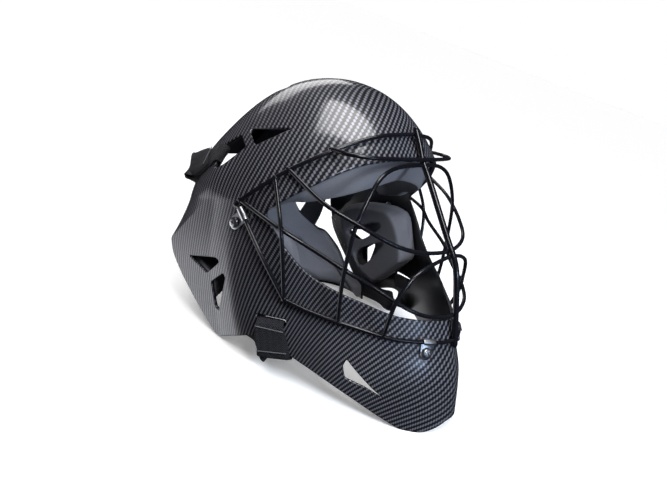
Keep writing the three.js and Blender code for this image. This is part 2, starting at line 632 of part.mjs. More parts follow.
// ------------------------------------------------------------------ assembly
const PAINT = {
  shell:  new THREE.MeshStandardMaterial({ name: 'shell_carbon', color: 0x2b2b31, roughness: 0.28, metalness: 0.1 }),
  wire:   new THREE.MeshStandardMaterial({ name: 'cage_black', color: 0x0b0c10, roughness: 0.25, metalness: 0.6 }),
  metal:  new THREE.MeshStandardMaterial({ name: 'clip_zinc', color: 0xb9bcc0, roughness: 0.35, metalness: 1 }),
  foam:   new THREE.MeshStandardMaterial({ name: 'foam_grey', color: 0x6a6b72, roughness: 0.85, metalness: 0 }),
  plate:  new THREE.MeshStandardMaterial({ name: 'plate_black', color: 0x101013, roughness: 0.45, metalness: 0 }),
  strap:  new THREE.MeshStandardMaterial({ name: 'webbing_black', color: 0x141417, roughness: 0.9, metalness: 0 }),
};

const pieces = [];
const add = (name, body, paint) => pieces.push([name, body, paint]);
const addPair = (name, body, paint) => {
  add(name + '_right', body, paint);
  add(name + '_left', mirrored(body), paint);
};

add('shell', makeShell(), PAINT.shell);
add('cage', makeCage(), PAINT.wire);
addPair('clip_temple', makeClip(SCREWS.temple), PAINT.metal);
addPair('clip_chin', makeClip(SCREWS.chin), PAINT.metal);
addPair('screw_temple', makeScrew(SCREWS.temple), PAINT.metal);
addPair('screw_chin', makeScrew(SCREWS.chin), PAINT.metal);
add('brow_pad', makeBrowPad(), PAINT.foam);
addPair('ear_pad', makeEarPad(), PAINT.foam);
add('back_plate', evenSided(backSlab(0, PLATE_T, PLATE_RIM)), PAINT.plate);
add('back_pad', evenSided(backSlab(-BACK_FOAM, 1, 0).subtract(backSlab(-GAP, 8, PLATE_RIM))), PAINT.foam);
addPair('strap_upper', makeUpperStrap(), PAINT.strap);
addPair('strap_lower', makeLowerStrap(), PAINT.strap);

// the resting pose: lean back onto the rear corners, then stand on z = 0
const group = new THREE.Group();
const box = new THREE.Box3();
const built = pieces.map(([name, body, paint]) => {
  const g = meshOf(body);
  g.rotateX(-LEAN);
  g.computeBoundingBox();
  box.union(g.boundingBox);
  return [name, g, paint];
});
for (const [name, g, paint] of built) {
  g.translate(0, -(box.min.y + box.max.y) / 2, -box.min.z);
  const mesh = new THREE.Mesh(g, paint);
  mesh.name = name;
  group.add(mesh);
}

export default group;
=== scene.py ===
"""Hockey goalie mask with a carbon-look shell and a welded wire cage.

Every piece is drawn in the wearer's own frame, in millimetres: +X to the wearer's left,
+Y to the back of the head, +Z up.  stand() then leans it back the way the mask rests on
a table and turns millimetres into metres, which is the frame the CAD model stands in.
"""
import math

import bmesh
import bpy
import numpy as np
from mathutils import Matrix, Vector
from mathutils.geometry import delaunay_2d_cdt


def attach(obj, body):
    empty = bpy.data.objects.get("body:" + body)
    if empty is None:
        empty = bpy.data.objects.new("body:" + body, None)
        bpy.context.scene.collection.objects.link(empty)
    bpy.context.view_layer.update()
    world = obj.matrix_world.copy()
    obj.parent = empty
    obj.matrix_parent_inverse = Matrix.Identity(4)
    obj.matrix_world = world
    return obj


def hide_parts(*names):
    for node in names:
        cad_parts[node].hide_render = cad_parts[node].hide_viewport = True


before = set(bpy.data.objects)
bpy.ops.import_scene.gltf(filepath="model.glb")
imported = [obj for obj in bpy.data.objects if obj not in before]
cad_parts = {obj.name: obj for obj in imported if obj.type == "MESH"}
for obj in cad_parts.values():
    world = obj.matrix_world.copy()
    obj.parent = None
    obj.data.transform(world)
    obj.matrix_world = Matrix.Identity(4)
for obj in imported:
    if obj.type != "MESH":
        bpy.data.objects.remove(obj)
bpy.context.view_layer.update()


# ---------------------------------------------------------------- how the mask stands
# The mask leans back until it rests on its chin and on the two rear corners of the
# shell.  The lean is fixed by those three places, and the shifts put it on the floor
# with its middle over the origin.
LEAN = math.atan2(77.5, 171)
BACK_SHIFT, UP_SHIFT = 1.1400, 95.0267


def stand(points):
    """Points of the head frame, in millimetres, as the mask stands, in metres."""
    p = np.asarray(points, float).reshape(-1, 3)
    c, s = math.cos(LEAN), math.sin(LEAN)
    y = p[:, 1] * c + p[:, 2] * s + BACK_SHIFT
    z = -p[:, 1] * s + p[:, 2] * c + UP_SHIFT
    return np.stack([p[:, 0], y, z], 1) / 1000


def turn(vectors):
    """Directions of the head frame as the mask stands."""
    v = np.asarray(vectors, float).reshape(-1, 3)
    c, s = math.cos(LEAN), math.sin(LEAN)
    return np.stack([v[:, 0], v[:, 1] * c + v[:, 2] * s, -v[:, 1] * s + v[:, 2] * c], 1)


# ---------------------------------------------------------------- camera, floor, lights
# A plain white table and backdrop with soft studio lights: a white board low behind the
# wearer's right shoulder, a long softbox overhead, small lamps over the forehead and in
# front of the face, and a faint one behind.  The room on the camera's side is dark.
EYE = np.array([-435.0, -330.0, 85.0])          # where the camera is, head frame
LEFT_SEEN = np.array([0.61932, -0.12822, 0.77460])    # the wearer's left, as right, down, ahead
LENS, SENSOR = 29.685, 36                       # mm
dip = math.atan2(-LEFT_SEEN[1], LEFT_SEEN[2])
up_seen = np.array([0, -math.cos(dip), -math.sin(dip)])
seen = np.stack([LEFT_SEEN, np.cross(up_seen, LEFT_SEEN), up_seen], 1)   # rows: right, down, ahead

camera = bpy.data.objects.new("camera", bpy.data.cameras.new("camera"))
bpy.context.collection.objects.link(camera)
right, down, ahead = (Vector(turn(seen[i])[0]) for i in range(3))
camera.matrix_world = Matrix((right, -down, -ahead)).transposed().to_4x4()
camera.location = Vector(stand(EYE)[0])
camera.data.sensor_width, camera.data.lens = SENSOR, LENS
camera.data.clip_start = 0.02
bpy.context.scene.camera = camera
bpy.context.scene.view_settings.view_transform = "Standard"

floor_mesh = bpy.data.meshes.new("floor")
floor_mesh.from_pydata([(-30, -30, 0), (30, -30, 0), (30, 30, 0), (-30, 30, 0)], [], [(0, 1, 2, 3)])
floor = bpy.data.objects.new("floor", floor_mesh)
bpy.context.collection.objects.link(floor)
white = bpy.data.materials.new("white_table")
white.use_nodes = True
for socket, value in {"Base Color": (0.93, 0.93, 0.93, 1), "Roughness": 0.9, "Specular IOR Level": 0.1,
                      "Emission Color": (1, 1, 1, 1), "Emission Strength": 0.25}.items():
    white.node_tree.nodes["Principled BSDF"].inputs[socket].default_value = value
floor_mesh.materials.append(white)
floor.visible_glossy = floor.visible_diffuse = False       # it lights nothing but itself

world = bpy.data.worlds.new("studio")
bpy.context.scene.world = world
world.use_nodes = True
sky = world.node_tree
way = sky.nodes.new("ShaderNodeTexCoord")
toward_board = sky.nodes.new("ShaderNodeVectorMath")
toward_board.operation = "DOT_PRODUCT"
toward_board.inputs[1].default_value = (-0.40, 0.66, -0.64)      # where the board stands
ramp = sky.nodes.new("ShaderNodeValToRGB")
dark_room, board = ramp.color_ramp.elements
dark_room.position, dark_room.color = 0.85, (0.010, 0.010, 0.013, 1)
board.position, board.color = 0.99, (0.95, 0.96, 1.0, 1)
ramp.color_ramp.interpolation = "EASE"
sky.links.new(way.outputs["Generated"], toward_board.inputs[0])
sky.links.new(toward_board.outputs["Value"], ramp.inputs["Fac"])
sky.links.new(ramp.outputs["Color"], sky.nodes["Background"].inputs["Color"])
sky.nodes["Background"].inputs["Strength"].default_value = 2.0
backdrop = sky.nodes.new("ShaderNodeBackground")                 # what the camera sees: white
backdrop.inputs["Color"].default_value = (1, 1, 1, 1)
seen_straight = sky.nodes.new("ShaderNodeLightPath")
choose = sky.nodes.new("ShaderNodeMixShader")
sky.links.new(seen_straight.outputs["Is Camera Ray"], choose.inputs[0])
sky.links.new(sky.nodes["Background"].outputs[0], choose.inputs[1])
sky.links.new(backdrop.outputs[0], choose.inputs[2])
sky.links.new(choose.outputs[0], sky.nodes["World Output"].inputs["Surface"])


def soft_light(name, place, aim, size, power, colour=(1, 1, 1), unseen_by=None):
    """A rectangular lamp at place, turned towards aim, in metres and watts."""
    data = bpy.data.lights.new(name, "AREA")
    data.shape = "RECTANGLE"
    data.size, data.size_y = size
    data.energy = power
    data.color = colour
    data.spread = math.radians(120)
    lamp = bpy.data.objects.new(name, data)
    bpy.context.collection.objects.link(lamp)
    lamp.location = place
    lamp.rotation_euler = (Vector(aim) - Vector(place)).to_track_quat("-Z", "Y").to_euler()
    if unseen_by:
        setattr(lamp, "visible_" + unseen_by, False)


# a wide ceiling that lights every face but is not mirrored
sun_data = bpy.data.lights.new("light_ceiling", "SUN")
sun_data.energy, sun_data.angle = 2.7, math.radians(50)
sun = bpy.data.objects.new("light_ceiling", sun_data)
bpy.context.collection.objects.link(sun)
sun.rotation_euler = Vector((0.25, -0.25, -1)).to_track_quat("-Z", "Y").to_euler()
sun.visible_glossy = False
# a long softbox over the crown and a blue card under the chin, seen only in the clear coat
soft_light("light_softbox", (-0.05, 0.22, 1.37), (-0.02, 0.05, 0.20), (0.46, 1.10), 4.4, unseen_by="diffuse")
soft_light("light_blue_card", (-0.25, -1.02, 0.47), (-0.03, -0.1, 0.05), (0.34, 0.07), 0.50,
           (0.55, 0.72, 1.0), "diffuse")
# the lamps over the forehead and before the face, and a faint one behind the wearer's left
soft_light("light_forehead", (-0.42, -0.55, 0.85), (-0.02, -0.05, 0.18), (0.22, 0.30), 1.2)
soft_light("light_face", (0.05, -1.0, 0.62), (0.0, -0.02, 0.10), (0.40, 0.40), 4.2,
           (0.74, 0.85, 1.0), "glossy")
soft_light("light_rim", (0.62, 1.30, 0.72), (0.0, 0.05, 0.15), (1.10, 0.45), 1.3, unseen_by="camera")


# ---------------------------------------------------------------- shell
# The shell is one moulding of glass and carbon composite, 3.2 mm thick, painted black
# inside and covered outside with a printed twill film under thick clear coat.  Its edges
# are trimmed and rounded, and vents, strap slots and screw holes are cut through it.
WALL = 3.2
DOME_FROM, DOME_TOP, DOME_MID, REAR = 50.0, 162.5, 25.0, 165.0
LEVELS = np.array([          # height, half width, front, widest line, fullness front, rear
    [-170,  96, -121, 30, 1.75, 2.4],
    [-110, 109, -125, 31, 1.70, 2.4],
    [ -80, 116, -121, 32, 1.60, 2.4],
    [ -45, 122, -117, 33, 1.52, 2.4],
    [   0, 125, -106, 34, 1.72, 2.4],
    [  50, 121,  -88, 34, 2.30, 2.1]])
RIDGE_Y, RIDGE_Z, RIDGE_SLOPE, HOLLOW = 113, 11, 0.75, 45


def smooth_step(x, a, b):
    t = np.clip((x - a) / (b - a), 0, 1)
    return t * t * (3 - 2 * t)


def level(z, column):
    """A smooth curve through one column of LEVELS."""
    heights, values = LEVELS[:, 0], LEVELS[:, column]
    slope = np.empty(6)
    slope[1:-1] = (values[2:] - values[:-2]) / (heights[2:] - heights[:-2])
    slope[0] = (values[1] - values[0]) / (heights[1] - heights[0])
    slope[-1] = (values[-1] - values[-2]) / (heights[-1] - heights[-2])
    q = np.clip(z, heights[0], heights[-1])
    i = np.clip(np.searchsorted(heights, q, side="left") - 1, 0, 4)
    h = heights[i + 1] - heights[i]
    t = (q - heights[i]) / h
    return ((2 * t**3 - 3 * t**2 + 1) * values[i] + (t**3 - 2 * t**2 + t) * h * slope[i]
            + (3 * t**2 - 2 * t**3) * values[i + 1] + (t**3 - t**2) * h * slope[i + 1])


def skin_at(a, z):
    """The outside of the shell at angle a round it (0 in front, -pi/2 on the right) and height z."""
    a, z = np.broadcast_arrays(np.asarray(a, float), np.asarray(z, float))
    half, front, mid = level(z, 1), level(z, 2), level(z, 3)
    full_front, full_rear = level(z, 4), level(z, 5)
    s = np.clip((z - DOME_FROM) / (DOME_TOP - DOME_FROM), 0, 1)
    crown_mid = mid + (DOME_MID - mid) * s * s
    fall = lambda e: np.maximum(1 - s**e, 0) ** (1 / e)
    front = crown_mid - (mid - front) * fall(2.05)
    rear = crown_mid + (REAR - mid) * fall(1.6)
    width = half * np.maximum(1 - s**1.5, 0) ** (1 / (1.5 + 0.4 * smooth_step(s, 0.5, 1)))
    full_front, full_rear = full_front + (2 - full_front) * s, full_rear + (2 - full_rear) * s
    sn, cs = np.sin(a), np.cos(a)
    n = np.where(cs >= 0, full_front, full_rear)
    reach = np.where(cs >= 0, crown_mid - front, rear - crown_mid)
    x = width * np.sign(sn) * np.abs(sn) ** (2 / n)
    y = crown_mid - np.sign(cs) * reach * np.abs(cs) ** (2 / n)
    # behind the ears the wall stays wide below the ridge and hollows in above it
    over = z - (RIDGE_Z + (RIDGE_Y - y) * RIDGE_SLOPE)
    push = np.where(over <= 0, 1, np.maximum(1 - over / HOLLOW, 0) ** 2)
    wide = half * 0.995
    extra = np.maximum(wide - np.abs(x), 0) * push * smooth_step(y, 36, 62)
    x = x + np.sign(x) * extra * np.minimum(np.abs(x) / (0.6 * half), 1)
    return np.stack([x, y, z], -1)


def skin_normal(a, z):
    e1 = skin_at(a + 0.004, z) - skin_at(a - 0.004, z)
    e2 = skin_at(a, np.minimum(np.asarray(z) + 0.4, DOME_TOP - 1e-4)) - skin_at(a, np.asarray(z) - 0.4)
    n = np.cross(e1, e2)
    n /= np.maximum(np.linalg.norm(n, axis=-1, keepdims=True), 1e-12)
    p = skin_at(a, z)
    inward = np.sum(n * (p - np.array([0, 30, 20])), -1) < 0
    return np.where(inward[..., None], -n, n)


def skin(a, z, out=0.0):
    p = skin_at(a, z)
    return p if not np.any(out) else p + skin_normal(a, z) * np.asarray(out)[..., None]


def angle_where(axis, value, z, lo=-math.pi, hi=0.0):
    """The angle on the wearer's right where the skin reaches this x or y at height z."""
    value, z = np.broadcast_arrays(np.asarray(value, float), np.asarray(z, float))
    lo, hi = np.full(z.shape, lo), np.full(z.shape, hi)
    for _ in range(40):
        m = (lo + hi) / 2
        here = skin_at(m, z)[..., axis]
        low = here > value if axis == 1 else here < value
        lo, hi = np.where(low, m, lo), np.where(low, hi, m)
    return (lo + hi) / 2


def side(y, z, out=0.0):
    """A place on the wearer's right, this far back and this high, out from the skin."""
    return skin(angle_where(1, y, z), z, out)


def face(x, z, out=0.0):
    """A place on the front, this far across and this high, out from the skin."""
    return skin(angle_where(0, x, z, -math.pi / 2, 0.0), z, out)


def through(points, steps=12):
    """A smooth line through the points, rounder where they are closer together."""
    p = np.asarray(points, float)
    p = np.vstack([2 * p[0] - p[1], p, 2 * p[-1] - p[-2]]) if len(p) > 2 else p
    if len(p) == 2:
        return p
    line = []
    for i in range(1, len(p) - 2):
        d0, d1, d2 = (max(np.linalg.norm(p[i + k] - p[i + k - 1]) ** 0.5, 1e-4) for k in range(3))
        t1 = (p[i] - p[i-1]) / d0 - (p[i+1] - p[i-1]) / (d0 + d1) + (p[i+1] - p[i]) / d1
        t2 = (p[i+1] - p[i]) / d1 - (p[i+2] - p[i]) / (d1 + d2) + (p[i+2] - p[i+1]) / d2
        t1, t2 = t1 * d1, t2 * d1
        t = np.linspace(0, 1, steps, endpoint=False)[:, None]
        line.append((2*t**3 - 3*t**2 + 1) * p[i] + (t**3 - 2*t**2 + t) * t1
                    + (3*t**2 - 2*t**3) * p[i+1] + (t**3 - t**2) * t2)
    return np.vstack(line + [p[-2:-1]])


def evenly(line, gap, closed=False):
    """The same line with points a fixed distance apart."""
    line = np.vstack([line, line[:1]]) if closed else np.asarray(line, float)
    run = np.concatenate([[0], np.cumsum(np.linalg.norm(np.diff(line, axis=0), axis=1))])
    count = max(int(round(run[-1] / gap)), 3)
    at = np.linspace(0, run[-1], count + 1)
    new = np.stack([np.interp(at, run, line[:, k]) for k in range(line.shape[1])], 1)
    return new[:-1] if closed else new


def eased(line, times, closed=False):
    """Corners rounded by averaging each point with its neighbours."""
    for _ in range(times):
        if closed:
            line = (np.roll(line, 1, 0) + 2 * line + np.roll(line, -1, 0)) / 4
        else:
            line = np.vstack([line[:1], (line[:-2] + 2 * line[1:-1] + line[2:]) / 4, line[-1:]])
    return line


# the lower and rear edge, then the face opening, as a side view shows them: y, z
LOWER_EDGE = [
    [[-150, -140], [-125, -144]],
    [[-125, -144], [-120, -151], [-111, -154], [-97, -148]],
    [[-97, -148], [-67, -119], [-41, -98], [-21, -84]],
    [[-21, -84], [-2, -71]],
    [[-2, -71], [10, -68], [30, -71], [54, -76.5]],
    [[54, -76.5], [61, -75], [66, -70]],
    [[66, -70], [98, -24]],
    [[98, -24], [110, -2], [112.6, 11]],
    [[112.6, 11], [107, 32], [102, 48], [99, 64], [99, 80], [104, 89], [118, 92]],
    [[118, 92], [200, 93]]]
FACE_EDGE = [
    [[-150, 83.5], [-81, 83.5]],
    [[-81, 83.5], [-68, 80], [-41, 63], [-23.5, 52], [-9, 43]],
    [[-9, 43], [-8, 40], [-9.5, 36]],
    [[-9.5, 36], [-20, 18], [-34, -4], [-52, -21], [-73, -34.5], [-92, -46.5], [-118, -56]],
    [[-118, -56], [-150, -60]]]
SIDE_VENTS = [
    [[49, 107], [33, 95.5], [50, 81], [60, 77], [77, 94.5]],
    [[39.5, 112.5], [39, 109.5], [22, 97], [8, 103.5], [-7, 110.8]],
    [[84, -3], [47, -1], [43, -4], [50, -9], [61, -16]],
    [[38, -14], [36, -17.5], [50, -50], [54, -47], [55.6, -24]],
    [[-63, -83], [-60.5, -89], [-62, -99], [-76, -107], [-88, -117.5], [-82, -110], [-66, -88]]]
TOP_VENT = [[-40, 63], [-42, 36], [-22, 42], [-25, 68]]       # x, y from above
SLOT_Y, SLOT_Z, SLOT_LONG, SLOT_HIGH = -5.5, -51.5, 27, 6       # lower strap slot
TEMPLE_Y, TEMPLE_Z, CHIN_X, CHIN_Z, HOLE_R = 22, 32, -28.5, -80.5, 2.8
EDGE_STEP, MESH_STEP, EDGE_ROUND = 1.3, 3.0, 1.15


def trim_line(parts):
    """A trimmed edge as angle and height on the wearer's right half of the shell."""
    line = eased(evenly(np.vstack([through(p, 10) for p in parts]), EDGE_STEP), 3)
    ends = skin_at(0.0, line[:, 1])[:, 1], skin_at(-math.pi, line[:, 1])[:, 1]
    keep = (line[:, 0] > ends[0] + 0.3) & (line[:, 0] < ends[1] - 0.3)
    first, last = np.flatnonzero(keep)[[0, -1]]
    inside = line[first:last + 1]
    a = angle_where(1, inside[:, 0], inside[:, 1])
    edge = np.stack([a, inside[:, 1]], 1)
    start = [[0.0 if a[0] > -1.5 else -math.pi, inside[0, 1] + (inside[0, 1] - inside[1, 1]) * 0.3]]
    stop = [[0.0 if a[-1] > -1.5 else -math.pi, inside[-1, 1] + (inside[-1, 1] - inside[-2, 1]) * 0.3]]
    edge = np.vstack([start, edge, stop])
    # near the middle plane one step in y is a long way round, so the line is respaced
    spots = skin_at(edge[:, 0], edge[:, 1])
    run = np.concatenate([[0], np.cumsum(np.linalg.norm(np.diff(spots, axis=0), axis=1))])
    at = np.linspace(0, run[-1], int(run[-1] / EDGE_STEP))
    return np.stack([np.interp(at, run, edge[:, 0]), np.interp(at, run, edge[:, 1])], 1)


def cut_outline(corners):
    return eased(evenly(np.asarray(corners, float), EDGE_STEP * 0.8, True), 2, True)


def on_right_side(spots):
    """Points at the skin as angle and height; their last two numbers are y and z."""
    return np.stack([angle_where(1, spots[:, -2], spots[:, -1]), spots[:, -1]], 1)


def top_vent_line():
    """The top vent is drawn from above, and its heights are found on the skin step by step."""
    xy = cut_outline(TOP_VENT)
    a, z = np.arctan2(xy[:, 0], DOME_MID - xy[:, 1]), np.full(len(xy), 152.0)
    for _ in range(30):
        miss = skin_at(a, z)[:, :2] - xy
        da = (skin_at(a + 1e-4, z)[:, :2] - xy - miss) / 1e-4
        dz = (skin_at(a, z + 1e-3)[:, :2] - xy - miss) / 1e-3
        det = da[:, 0] * dz[:, 1] - da[:, 1] * dz[:, 0]
        turn_by = (miss[:, 0] * dz[:, 1] - miss[:, 1] * dz[:, 0]) / det
        lower_by = (da[:, 0] * miss[:, 1] - da[:, 1] * miss[:, 0]) / det
        a = a - np.clip(turn_by, -0.1, 0.1)
        z = np.minimum(z - np.clip(lower_by, -4, 4), DOME_TOP - 0.5)
    return np.stack([a, z], 1)


def slot_line():
    """The lower strap's slot, drawn on the plane that touches the shell there."""
    along = slot_along()
    up = np.cross(outward(SLOT_Y, SLOT_Z), along)
    w, h = SLOT_LONG / 2, SLOT_HIGH / 2
    rect = cut_outline([[-w, -h], [w, -h], [w, h], [-w, h]])
    return on_right_side(side(SLOT_Y, SLOT_Z) + rect[:, :1] * along + rect[:, 1:] * up)


def screw_hole_line(at, n, axis, rear):
    """A round hole square to n; axis and rear say how its angles are looked for on the skin."""
    angle = np.arange(20) / 20 * 2 * math.pi
    e1 = np.cross(n, [0, 0, 1])
    e1 /= np.linalg.norm(e1)
    e2 = np.cross(n, e1)
    ring = at + HOLE_R * (np.cos(angle)[:, None] * e1 + np.sin(angle)[:, None] * e2)
    return np.stack([angle_where(axis, ring[:, axis], ring[:, 2], rear), ring[:, 2]], 1)


def hole_lines():
    vents = [on_right_side(cut_outline(vent)) for vent in SIDE_VENTS]
    temple = screw_hole_line(side(TEMPLE_Y, TEMPLE_Z), outward(TEMPLE_Y, TEMPLE_Z), 1, -math.pi)
    chin = screw_hole_line(face(CHIN_X, CHIN_Z), chin_normal(), 0, -math.pi / 2)
    return vents + [top_vent_line(), slot_line(), temple, chin]


def outward(y, z):
    n = side(y, z, 1.0) - side(y, z)
    return n / np.linalg.norm(n)


def chin_normal():
    n = face(CHIN_X, CHIN_Z, 1.0) - face(CHIN_X, CHIN_Z)
    return n / np.linalg.norm(n)


def slot_along():
    """The direction of the strap slot: level and along the shell, a little raised at the rear."""
    n = outward(SLOT_Y, SLOT_Z)
    flat = np.array([-n[1], n[0], 0])
    flat /= np.linalg.norm(flat)
    flat = flat if flat[1] > 0 else -flat
    flat = flat + np.array([0, 0, 0.14])
    return flat / np.linalg.norm(flat)


def inside_of(points, loop):
    """Which points lie inside a closed line, both flat."""
    inside = np.zeros(len(points), bool)
    x, y = points[:, 0], points[:, 1]
    for (x1, y1), (x2, y2) in zip(loop, np.roll(loop, -1, 0)):
        if y1 != y2:
            inside ^= ((y1 > y) != (y2 > y)) & (x < (x2 - x1) * (y - y1) / (y2 - y1) + x1)
    return inside


# heights up the side against a flat map of the half shell, drawn like a fan round the crown
fan_z = np.concatenate([np.linspace(-165, DOME_FROM, 216), DOME_FROM + (DOME_TOP - DOME_FROM)
                        * np.sin(np.linspace(0, 1, 200)[1:] * math.pi / 2)])
fan_rib = skin_at(-math.pi / 2, fan_z)
fan_length = np.concatenate([[0], np.cumsum(np.linalg.norm(np.diff(fan_rib, axis=0), axis=1))])
fan_girth = np.maximum(np.abs(fan_rib[:, 0]), 1.5)
fan_log = np.concatenate([[0], np.cumsum(np.diff(fan_length) / ((fan_girth[1:] + fan_girth[:-1]) / 2))])
fan_radius = np.exp(fan_log[-1] - fan_log) - 0.97


def on_fan(edge):
    """Angles and heights on the flat map."""
    r = np.interp(edge[:, 1], fan_z, fan_radius)
    return np.stack([r * np.cos(edge[:, 0]), r * np.sin(edge[:, 0])], 1)


def pulled_in(edge, by, closed, material_left):
    """The line moved along the skin into the material, and the direction it moved in."""
    p, n = skin_at(edge[:, 0], edge[:, 1]), skin_normal(edge[:, 0], edge[:, 1])
    if closed:
        t = np.roll(p, -1, 0) - np.roll(p, 1, 0)
    else:
        t = np.gradient(p, axis=0)
        t[[0, -1], 1:] = 0          # square to the middle plane
    t /= np.linalg.norm(t, axis=1, keepdims=True)
    into = np.cross(n, t) * (1 if material_left else -1)
    into /= np.linalg.norm(into, axis=1, keepdims=True)
    a, z = edge[:, 0].copy(), edge[:, 1].copy()
    goal = p + into * by
    for _ in range(6):
        miss = goal - skin_at(a, z)
        da = (skin_at(a + 1e-4, z) - skin_at(a - 1e-4, z)) / 2e-4
        dz = (skin_at(a, z + 1e-3) - skin_at(a, z - 1e-3)) / 2e-3
        g11, g12, g22 = (da * da).sum(1), (da * dz).sum(1), (dz * dz).sum(1)
        b1, b2 = (miss * da).sum(1), (miss * dz).sum(1)
        det = np.maximum(g11 * g22 - g12 * g12, 1e-9)
        a, z = a + (g22 * b1 - g12 * b2) / det, z + (g11 * b2 - g12 * b1) / det
    if not closed:
        a[[0, -1]] = edge[[0, -1], 0]
    return np.stack([a, z], 1), into


def rise(start, stop):
    """Heights between two others, evenly spread along the middle line of the shell."""
    first, last = np.interp([start, stop], fan_z, fan_length)
    count = max(int(abs(last - first) / MESH_STEP), 2)
    return np.interp(np.linspace(first, last, count), fan_length, fan_z)[1:-1]


def drawn_in_rims():
    """Each rim of the right half, moved into the material by its rounding: the line, the
    direction it moved in, whether it is closed, and whether the material is on its left."""
    lower, opening = trim_line(LOWER_EDGE), trim_line(FACE_EDGE)
    moved = []
    for edge, closed in [(lower, False), (opening, False)] + [(h, True) for h in hole_lines()]:
        trial, _ = pulled_in(edge, 0.6, closed, True)
        if closed:
            left = not inside_of(on_fan(trial)[:1], on_fan(edge))[0]
        elif edge is lower:
            left = np.mean(trial[:, 1] - edge[:, 1]) > 0
        else:
            spots = skin_at(edge[:, 0], edge[:, 1])
            away = skin_at(trial[:, 0], trial[:, 1]) - spots
            left = np.sum(away * (spots - np.array([0, -100, 20]))) > 0
        new, into = pulled_in(edge, EDGE_ROUND, closed, left)
        moved.append((new, into, closed, left))
    return moved


def half_outline(low, face_line):
    """The closed outline of the right half, and where the face opening starts on it."""
    rear_mid, front_mid = rise(low[-1, 1], DOME_TOP), rise(DOME_TOP, face_line[0, 1])
    chin_mid = rise(face_line[-1, 1], low[0, 1])
    middle = lambda angle, heights: np.stack([np.full(len(heights), angle), heights], 1)
    loop = np.vstack([low, middle(-math.pi, rear_mid), [[-math.pi / 2, DOME_TOP]],
                      middle(0.0, front_mid), face_line, middle(0.0, chin_mid)])
    return loop, len(low) + len(rear_mid) + 1 + len(front_mid)


def between_rims(flat, loop, holes):
    """Which points of the flat map lie on the material."""
    keep = inside_of(flat, on_fan(loop))
    for hole in holes:
        keep &= ~inside_of(flat, on_fan(hole))
    return keep


def spread_points(loop, holes):
    """Angles and heights spread evenly over the half shell, clear of its rims."""
    grid = []
    for k, run in enumerate(np.arange(0, fan_length[-1] - 1, MESH_STEP * 0.87)):
        z = np.interp(run, fan_length, fan_z)
        a = np.linspace(-math.pi, 0, 400)
        ring = skin_at(a, z)
        way = np.concatenate([[0], np.cumsum(np.linalg.norm(np.diff(ring, axis=0), axis=1))])
        count = max(int(way[-1] / MESH_STEP), 2)
        spots = (np.arange(count) + (0.25 if k % 2 else 0.75)) / count * way[-1]
        grid.append(np.stack([np.interp(spots, way, a), np.full(count, z)], 1))
    grid = np.vstack(grid)
    grid = grid[between_rims(on_fan(grid), loop, holes)]
    rim_spots = skin_at(*np.vstack([loop] + holes).T)
    far = np.ones(len(grid), bool)
    spots = skin_at(grid[:, 0], grid[:, 1])
    for start in range(0, len(grid), 500):
        d = np.linalg.norm(spots[start:start + 500, None] - rim_spots[None], axis=2).min(1)
        far[start:start + 500] = d > MESH_STEP * 0.55
    return grid[far]


def half_surface(loop, holes):
    """Angles and heights of the half shell's points, and the triangles between them."""
    params = np.vstack([loop] + holes + [spread_points(loop, holes)])
    edges, first = [], 0
    for ring in [loop] + holes:
        n = len(ring)
        edges += [(first + i, first + (i + 1) % n) for i in range(n)]
        first += n
    flat = on_fan(params)
    spots = [Vector((float(x), float(y))) for x, y in flat]
    _, _, tris, sources, _, _ = delaunay_2d_cdt(spots, edges, [], 0, 1e-7)
    back = np.array([source[0] if source else -1 for source in sources])
    tris = np.array([[back[i] for i in t] for t in tris if len(t) == 3])
    tris = tris[(tris >= 0).all(1)]
    return params, tris[between_rims(flat[tris].mean(1), loop, holes)]


def outer_skin(params, loop):
    """Places and normals on the outside, with the middle plane's points exactly on it."""
    outer, normal = skin_at(params[:, 0], params[:, 1]), skin_normal(params[:, 0], params[:, 1])
    pole = np.argmin(np.abs(params[:, 1] - DOME_TOP))
    outer[pole], normal[pole] = (0, DOME_MID, DOME_TOP), (0, 0, 1)
    on_mid = np.zeros(len(params), bool)
    on_mid[:len(loop)] = ((np.abs(loop[:, 0]) < 1e-9) | (np.abs(loop[:, 0] + math.pi) < 1e-9)
                          | (loop[:, 1] >= DOME_TOP))
    outer[on_mid, 0] = normal[on_mid, 0] = 0
    return outer, normal / np.linalg.norm(normal, axis=1, keepdims=True)


def rim_rows(p, n, into, closed):
    """The rounded rim from the outer skin's edge to the inner one's, row by row."""
    out_dir = -into
    if not closed:
        out_dir[[0, -1], 0] = 0
        out_dir[[0, -1]] /= np.linalg.norm(out_dir[[0, -1]], axis=1, keepdims=True)
    for h in (0.03, 0.12, 0.3, 0.5, 0.7, 0.88, 0.97):
        bulge = (1 - abs(1 - 2 * h) ** 2.6) ** (1 / 2.6)
        spot = p - n * WALL * h + out_dir * EDGE_ROUND * bulge
        if not closed:
            spot[[0, -1], 0] = 0
        lean = np.sign(1 - 2 * h) * abs(1 - 2 * h) ** 1.6 / (WALL / 2)
        facing = n * lean + out_dir * (bulge ** 1.6 / EDGE_ROUND)
        yield spot, facing / np.linalg.norm(facing, axis=1, keepdims=True)


